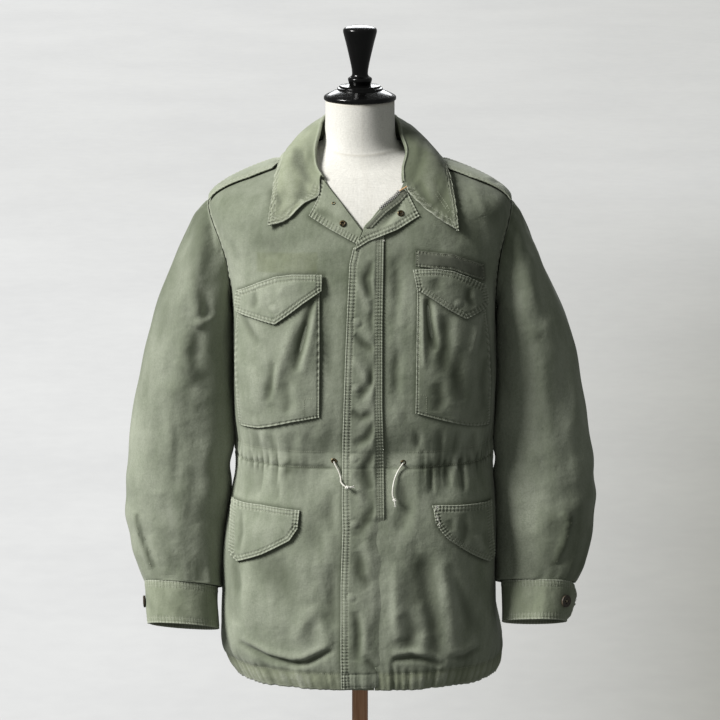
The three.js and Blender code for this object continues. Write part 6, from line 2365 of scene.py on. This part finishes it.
def cut_hole(piece, x, y, radius, depth):
    deselect_all()
    bpy.ops.mesh.primitive_cylinder_add(vertices=16, radius=radius * MM, depth=depth * MM,
                                        location=(x * MM, y * MM, depth * MM / 2 - 1 * MM))
    drill = bpy.context.active_object
    modifier = piece.modifiers.new("hole", "BOOLEAN")
    modifier.operation = "DIFFERENCE"
    modifier.object = drill
    bpy.context.view_layer.objects.active = piece
    bpy.ops.object.modifier_apply(modifier=modifier.name)
    bpy.data.objects.remove(drill, do_unlink=True)


def add_button(name, node, rows, side, level, turn, seat):
    """A four-hole button: dished face, raised rim, drilled holes and crossed thread."""
    half = BUTTON_THICKNESS * MM / 2
    piece = start_piece(name, brown_resin, bpy.ops.mesh.primitive_cylinder_add, vertices=64,
                        radius=BUTTON_RADIUS * MM, depth=2 * half, location=(0, 0, half))
    piece.data.transform(Matrix.Translation((0, 0, half)))
    piece.location = (0, 0, 0)
    pick_faces(piece, lambda centre, normal: normal.z > 0.9)
    bpy.ops.mesh.inset(thickness=1.7 * MM)
    bpy.ops.mesh.inset(thickness=0.5 * MM, depth=-0.5 * MM)
    bpy.ops.mesh.inset(thickness=2.2 * MM, depth=-0.15 * MM)
    leave_edit()
    bevel_edges(piece, 0.35 * MM, 3)
    for x, y in ((1, 1), (-1, 1), (-1, -1), (1, -1)):
        cut_hole(piece, x * BUTTON_HOLE_REACH, y * BUTTON_HOLE_REACH, BUTTON_HOLE, 6.0)
    over = CUFF_SPREAD + CUFF_WALL + CUFF_LAP_GAP
    e = 0.05

    def at(place_level, place_turn):
        return cuff_point(rows, side, np.array(place_level), np.array(place_turn), over)

    across = at(level, turn + e) - at(level, turn - e)
    down = at(level + e, turn) - at(level - e, turn)
    axis = unit(np.cross(across, down) if side > 0 else np.cross(down, across))
    foot = at(level, turn) + axis * seat
    stand_on(piece, foot, axis, 0.5)
    finish_hard(piece, [node])
    right = unit(np.cross(axis, [0.0, 0.0, 1.0]))
    high = np.cross(right, axis)
    shapes = []
    reach = BUTTON_HOLE_REACH
    rise = BUTTON_THICKNESS - 0.35
    for a, b in (((1, 1), (-1, -1)), ((-1, 1), (1, -1)), ((1, 0.9), (-0.9, -1))):
        f = np.linspace(0, 1, 9)[:, None]
        start = right * a[0] * reach + high * a[1] * reach
        end = right * b[0] * reach + high * b[1] * reach
        arch = axis * (rise + 0.35 * np.sin(math.pi * f) - 1.6 * (np.abs(2 * f - 1) ** 6))
        shapes.append(tube(foot + start + (end - start) * f + arch, 0.36, 8))
    points, faces = join_shapes(shapes)
    add_mesh(name + "_thread", points, faces, tan_thread)
    return foot, axis


add_button("wrist_button_right", "cuff_button_right", CUFF_RIGHT, -1, 0.95, -0.02, 0.8)
foot, axis = add_button("wrist_button_left", "cuff_button_left", CUFF_LEFT, 1, 1.05, 0.72, 0.45)


def add_buttonhole(foot):
    """Two close rows of stitches beside the left cuff's button."""
    face = cuff_grid_left[..., 1] < foot[1] + 12
    normals = grid_normals(cuff_grid_left, True, False)[face][:, None]
    places = cuff_grid_left[face][:, None]
    for rise in (-1.3, 1.3):
        row = [[foot[0] - 18, foot[2] + rise], [foot[0] - 9.5, foot[2] + rise]]
        sew_line("cuff_cloth_left", places, normals, row, white_thread)


add_buttonhole(foot)


def add_ring(name, node, point, axis, radius, hole, height):
    """A pressed metal ring: a domed rim round an open middle."""
    piece = start_piece(name, black_brass, bpy.ops.mesh.primitive_cylinder_add, vertices=40,
                        radius=radius * MM, depth=height * MM * 0.5, location=(0, 0, 0))
    pick_faces(piece, lambda centre, normal: normal.z > 0.9)
    bpy.ops.mesh.inset(thickness=(radius - hole) * 0.45 * MM, depth=height * 0.5 * MM)
    bpy.ops.mesh.inset(thickness=(radius - hole) * 0.5 * MM, depth=-height * 0.15 * MM)
    bpy.ops.mesh.inset(thickness=0.12 * MM, depth=-height * 0.75 * MM)
    leave_edit()
    bevel_edges(piece, 0.16 * MM, 3, 30)
    stand_on(piece, np.asarray(point) + np.asarray(axis) * height * 0.25, axis)
    finish_hard(piece, [node] if node else [])


def front_place(x, z, out):
    """A point at a height over the fronts, and the direction out of the cloth there."""
    foot = on_front(np.array([x]), np.array([z]), out, 0.0)[0]
    axis = on_front(np.array([x]), np.array([z]), out + 1, 0.0)[0] - foot
    return foot, unit(axis)


# Rings: name, node, x, z and height over the cloth, then radius, hole and thickness
EYELET = (4.0, 2.2, 1.0)
SNAP = (4.8, 2.4, 1.9)
PRONG_RING = (2.6, 1.3, 0.9)
for name, node, place, size in (
        ("cord_eyelet_right", "eyelet_right", (-37.4, 1053.7, 1.7), EYELET),
        ("cord_eyelet_left", "eyelet_left", (61.6, 1051.3, 1.3), EYELET),
        ("collar_snap_right", "neck_snap_right", (-24, 1394, FIRST_LAYER + 0.5), SNAP),
        ("collar_snap_left", "neck_snap_left", (57, 1407, FIRST_LAYER + 0.9), SNAP),
        ("brass_prong_ring", None, (-37, 1420, FIRST_LAYER + 0.4), PRONG_RING)):
    add_ring(name, node, *front_place(*place), *size)


TOOTH_PITCH = 3.2
TOOTH_SIZE = (4.6, 1.7, 2.2)


def zip_edge():
    """The free edge of the left turned front as far as its zip shows, and its normals."""
    path, ups = inset_row(lapel_grid, grid_normals(lapel_grid, False, False), "left", 0.0)
    shown = (path[:, 0] > 29) & (path[:, 0] < 57)
    return path[shown], ups[shown]


def add_zip_teeth(path, ups):
    """One pressed tooth, copied along the zip's edge."""
    tooth = start_piece("one_zip_tooth", zip_metal, bpy.ops.mesh.primitive_cube_add, size=1.0)
    tooth.data.transform(Matrix.Diagonal((*[size * MM for size in TOOTH_SIZE], 1)))
    pick_faces(tooth, lambda centre, normal: normal.x > 0.9)
    bpy.ops.mesh.inset(thickness=0.25 * MM)
    bpy.ops.mesh.extrude_region_move(TRANSFORM_OT_translate={"value": (0.5 * MM, 0, 0)})
    leave_edit()
    bevel_edges(tooth, 0.18 * MM, 1)
    corners = np.array([tuple(v.co) for v in tooth.data.vertices]) / MM
    sides = [tuple(p.vertices) for p in tooth.data.polygons]
    bpy.data.objects.remove(tooth, do_unlink=True)
    along = line_lengths(path)
    shapes = []
    for mark in np.arange(1.0, along[-1] - 1.0, TOOTH_PITCH):
        centre = places_at(mark, along, path)
        up = unit(places_at(mark, along, ups))
        run = unit(places_at(mark + 1, along, path) - centre)
        out = unit(np.cross(up, run))
        frame_of = np.stack([out, run, up], axis=0)
        away = -out if out[2] < 0 else out
        shapes.append((centre + away * 1.7 + up * 1.6 + corners @ frame_of, sides))
    points, faces = join_shapes(shapes)
    add_mesh("zip_teeth", points, faces, zip_metal, smooth=False)


def add_zip_cords(path, ups):
    """The corded edge under the teeth, coloured black as painted shadow, and the thread that
    crosses the neck seam.
    """
    beside = unit(np.cross(ups, unit(np.gradient(path, axis=0))))
    beside = beside * np.where(beside[:, 2:] < 0, -1, 1)
    points, faces = tube(path + beside * 1.6 + ups * 0.3, 1.5, 8)
    add_mesh("zip_cord_shadow", points, faces, shadow_black_thread)
    core = path[-1] + np.array([-1.0, -2.0, 2.0])
    core = core + np.linspace(0, 1, 14)[:, None] * np.array([10.5, 1.5, 6.0])
    points, faces = tube(core, 0.85, 8)
    add_mesh("neck_seam_thread", points, faces, orange_thread)


edge_path, edge_ups = zip_edge()
add_zip_teeth(edge_path, edge_ups)
add_zip_cords(edge_path, edge_ups)


# Frayed places: x, z, number of threads and their length
FRAYED_PLACES = [(107, 984, 9, 3.2), (109, 972, 8, 3.0), (112, 962, 7, 2.6), (33, 1372, 3, 2.4)]
FRAY_HEIGHT = 5.2


def add_frays():
    """Rubbed-through threads at the corner of the left hip flap and at the top of the fly."""
    loose = np.random.default_rng(9)
    shapes = []
    for x, z, count, size in FRAYED_PLACES:
        foot = front_place(x, z, FRAY_HEIGHT)[0]
        for _ in range(count):
            angle = loose.uniform(0, TAU)
            run = unit(np.array([math.cos(angle), -0.25, math.sin(angle)]))
            start = foot + np.array([loose.uniform(-1.6, 1.6), 0, loose.uniform(-3.4, 3.4)])
            shapes.extend(frayed_end(start, run, size, 1, 1.2))
    points, faces = join_shapes(shapes)
    add_mesh("frayed_threads", points, faces, white_thread)


add_frays()


# The dress form: the body's own shape, set in under the cloth, and a neck
FORM_ROWS = np.array([
    [1.6, 17],
    [2.5, 15],
    [4.0, 20],
    [5.5, 25],
    [7.0, 27],
    [8.5, 22],
    [10.0, 17],
    [11.5, 13],
    [12.7, 10],
    [13.7, 7.5],
    [14.5, 5.5],
    [15.2, 3.4],
    [16.0, 2.3],
    [17.0, 2.2],
    [18.0, 2.2],
    [19.0, 2.2],
    [20.0, 2.8],
    [21.0, 3.4],
])
FORM_NECK_ROWS = [
    [1484, 1474, 1500, 65, 58, 56],
    [1493, 1487, 1506, 55, 53, 52],
    [1506, 1503, 1514, 50.5, 50.5, 50.5],
    [1530, 1530, 1530, 49.6, 49.6, 49.6],
    [1553.5, 1553.5, 1553.5, 49.4, 49.4, 49.4],
]
FORM_SIDES = 96
FORM_RINGS = 130
FORM_RADIUS = 80
FORM_SEAM_RADIUS = 55
NECK_SEAM_TURN = math.pi / 2 - 0.09


def form_rings():
    turn = np.arange(FORM_SIDES) * TAU / FORM_SIDES
    rings = []
    for level, inset in FORM_ROWS:
        rings.append(body_smooth(turn, level) - body_normal(turn, level) * inset)
    foot = rings[0][:, 2].min()
    rings[0][:, 2] = foot
    s = np.sin(turn)
    for side_z, front_z, back_z, wide, ahead, behind in FORM_NECK_ROWS:
        depth = np.where(s > 0, ahead, behind)
        end = np.where(s > 0, front_z, back_z)
        z = side_z + (end - side_z) * s * s
        rings.append(np.stack([wide * np.cos(turn), -depth * s, z], axis=1))
    controls = np.stack(rings).reshape(len(rings), -1)
    grid = smooth_row(controls, np.linspace(0, len(rings) - 1, FORM_RINGS))
    return turn, grid.reshape(FORM_RINGS, FORM_SIDES, 3), foot


def add_form_body():
    turn, grid, foot = form_rings()
    normals = grid_normals(grid, False, True)
    row = np.linspace(0, len(FORM_ROWS) + len(FORM_NECK_ROWS) - 1, FORM_RINGS)[:, None]
    neck_seam = bell(row, len(FORM_ROWS) + 0.35 + 0.25 * np.sin(turn)[None, :], 0.09)
    front_seam = turn_gap(turn, NECK_SEAM_TURN)[None, :] * FORM_SEAM_RADIUS
    front_seam = bell(front_seam, 0, 1.1) * smooth_step(6, 8, row)
    back_seam = bell(turn_gap(turn, 3 * math.pi / 2)[None, :] * FORM_SEAM_RADIUS, 0, 1.1)
    seam = np.maximum(neck_seam, np.maximum(front_seam, back_seam))
    ease = 0.18 * np.sin(turn * 6 + grid[..., 2] / 31) * np.sin(grid[..., 2] / 23)
    grid = grid + normals * (ease - 0.7 * seam)[..., None]
    grid[0, :, 2] = foot
    ends = [grid[0].mean(axis=0)[None], grid[-1].mean(axis=0)[None]]
    points = np.concatenate([grid.reshape(-1, 3), *ends])
    at = np.arange(FORM_RINGS * FORM_SIDES).reshape(FORM_RINGS, FORM_SIDES)
    nxt = np.roll(at, -1, axis=1)
    faces = np.stack([at[:-1], nxt[:-1], nxt[1:], at[1:]], axis=-1).reshape(-1, 4).tolist()
    low = FORM_RINGS * FORM_SIDES
    faces += [(low, b, a) for a, b in zip(at[0].tolist(), nxt[0].tolist())]
    faces += [(low + 1, a, b) for a, b in zip(at[-1].tolist(), nxt[-1].tolist())]
    piece = add_mesh("form_canvas", points, faces, ivory_canvas, ["form_body"])
    mesh = piece.data
    pale_top = np.broadcast_to(0.5 * smooth_step(1548, 1553, grid[..., 2]), seam.shape)
    for label, spread in (("wear_and_light", 0 * seam), ("shade_and_marks", 0.55 * seam), ("sunned", pale_top)):
        made = mesh.attributes.new(label, "FLOAT", "POINT")
        flat = np.concatenate([spread.reshape(-1), [0, 0]]).astype(np.float32)
        made.data.foreach_set("value", np.clip(flat, 0, 1))
    layer = mesh.uv_layers.new(name="UVMap")
    corners = np.empty(len(mesh.loops), dtype=np.int32)
    mesh.loops.foreach_get("vertex_index", corners)
    round_way = np.broadcast_to(turn * FORM_RADIUS * MM, seam.shape).reshape(-1)
    u = np.concatenate([round_way, [0, 0]])[corners]
    v = (points[:, 2] * MM)[corners]
    columns = np.broadcast_to(np.arange(FORM_SIDES), seam.shape).reshape(-1)
    column = np.concatenate([columns, [0, 0]])[corners]
    quads = (FORM_RINGS - 1) * FORM_SIDES * 4
    quad_u = u[:quads].reshape(-1, 4)
    quad_column = column[:quads].reshape(-1, 4)
    spread = np.ptp(quad_column, axis=1, keepdims=True)
    wraps = (spread > FORM_SIDES / 2) & (quad_column < FORM_SIDES / 2)
    quad_u = np.where(wraps, quad_u + TAU * FORM_RADIUS * MM, quad_u)
    u[:quads] = quad_u.reshape(-1)
    layer.data.foreach_set("uv", np.stack([u, v], axis=1).reshape(-1).astype(np.float32))
    return foot


FORM_FOOT = add_form_body()


def turned_piece(name, profile, material, node, steps):
    """A profile of radius and height, spun round the pole's line."""
    deselect_all()
    mesh = bpy.data.meshes.new(name)
    corners = [(x * MM, 0, z * MM) for x, z in profile]
    mesh.from_pydata(corners, [(i, i + 1) for i in range(len(corners) - 1)], [])
    piece = bpy.data.objects.new(name, mesh)
    bpy.context.scene.collection.objects.link(piece)
    piece.select_set(True)
    bpy.context.view_layer.objects.active = piece
    mesh.materials.append(material)
    bpy.ops.object.mode_set(mode="EDIT")
    bpy.ops.mesh.select_all(action="SELECT")
    bpy.ops.mesh.spin(steps=steps, angle=TAU, center=(0, 0, 0), axis=(0, 0, 1))
    bpy.ops.mesh.select_all(action="SELECT")
    bpy.ops.mesh.remove_doubles(threshold=0.000005)
    bpy.ops.mesh.normals_make_consistent(inside=False)
    leave_edit()
    finish_hard(piece, [node], 28)
    return piece


CAP_FOOT = [
    [0, 1553.9],
    [50.0, 1553.9],
    [51.0, 1554.3],
    [51.6, 1555.3],
    [51.7, 1557.0],
    [51.5, 1558.6],
    [50.8, 1559.8],
    [49.6, 1560.6],
    [45.5, 1562.9],
    [41, 1565],
    [36, 1567.2],
    [32.9, 1568.3],
    [32.5, 1568.9],
    [32.5, 1570.8],
    [32.1, 1571.3],
    [29.9, 1571.9],
    [29.5, 1572.4],
    [29.4, 1573.9],
    [28.8, 1574.5],
    [15.2, 1575.8],
]
CAP_KNOB = [
    [15.2, 1575.8],
    [16.4, 1579.4],
    [17.2, 1582.8],
    [16.6, 1585.2],
    [13.0, 1587.6],
    [11.6, 1590.0],
    [11.4, 1593.5],
    [12.6, 1602],
    [15.8, 1617],
    [19.8, 1634],
    [22.8, 1645.5],
    [24.1, 1651.5],
    [23.2, 1655.4],
    [18, 1658.3],
    [10, 1659.9],
    [0, 1660.4],
]
POLE_RADIUS = 11.8
BASE_TOP = 40.4
BASE_PROFILE = [
    [0, 0],
    [186, 0],
    [188.8, 1.2],
    [190, 4],
    [190, 14],
    [189.0, 16.8],
    [184, 19.6],
    [150, 21.0],
    [100, 22.6],
    [60, 24],
    [34, 25.6],
    [27, 27.6],
    [24.4, 31.0],
    [22.6, 37.6],
    [21.6, 39.4],
    [20.4, 40],
    [0, 40],
]

cap_profile = CAP_FOOT + smooth_line(CAP_KNOB, 64)[1:].tolist()
turned_piece("neck_cap", cap_profile, black_lacquer, "form_cap", 80)
pole_top = FORM_FOOT - 0.5
pole_profile = [[0, BASE_TOP], [POLE_RADIUS, BASE_TOP]]
pole_profile += [[POLE_RADIUS, BASE_TOP + (pole_top - BASE_TOP) * k / 24] for k in range(1, 24)]
pole_profile += [[POLE_RADIUS, pole_top - 0.8], [POLE_RADIUS - 0.8, pole_top], [0, pole_top]]
turned_piece("stand_pole", pole_profile, red_wood, "form_pole", 64)
turned_piece("stand_base", BASE_PROFILE, black_lacquer, "form_base", 128)

add_stitching()


# Studio: a pale plaster floor under two soft suns and a pale sky
def add_floor():
    deselect_all()
    bpy.ops.mesh.primitive_plane_add(size=120, location=(0, 0, 0))
    floor = bpy.context.active_object
    floor.name = "studio_floor"
    floor.data.materials.append(plaster_material())
    floor.visible_diffuse = False
    floor.visible_glossy = False


def add_sun(name, azimuth, elevation, strength, spread, colour):
    """Light from an azimuth round the object, 0 in front and 90 on its right as seen."""
    lamp = bpy.data.lights.new(name, "SUN")
    lamp.energy = strength
    lamp.angle = math.radians(spread)
    lamp.color = colour
    light = bpy.data.objects.new(name, lamp)
    a = math.radians(azimuth)
    e = math.radians(elevation)
    towards = Vector((math.sin(a) * math.cos(e), -math.cos(a) * math.cos(e), math.sin(e)))
    light.rotation_euler = towards.to_track_quat("Z", "Y").to_euler()
    bpy.context.scene.collection.objects.link(light)


def set_world():
    world = bpy.data.worlds.new("studio_air")
    world.use_nodes = True
    air = world.node_tree.nodes["Background"]
    air.inputs["Color"].default_value = (0.96, 0.99, 0.95, 1.0)
    air.inputs["Strength"].default_value = 0.19
    bpy.context.scene.world = world


add_floor()
set_world()
add_sun("window_light", -65, 36, 5.55, 20, (1.0, 0.99, 0.97))
add_sun("rear_fill", 180, 24, 1.3, 30, (0.96, 0.98, 1.0))
bpy.context.scene.view_settings.view_transform = "Standard"
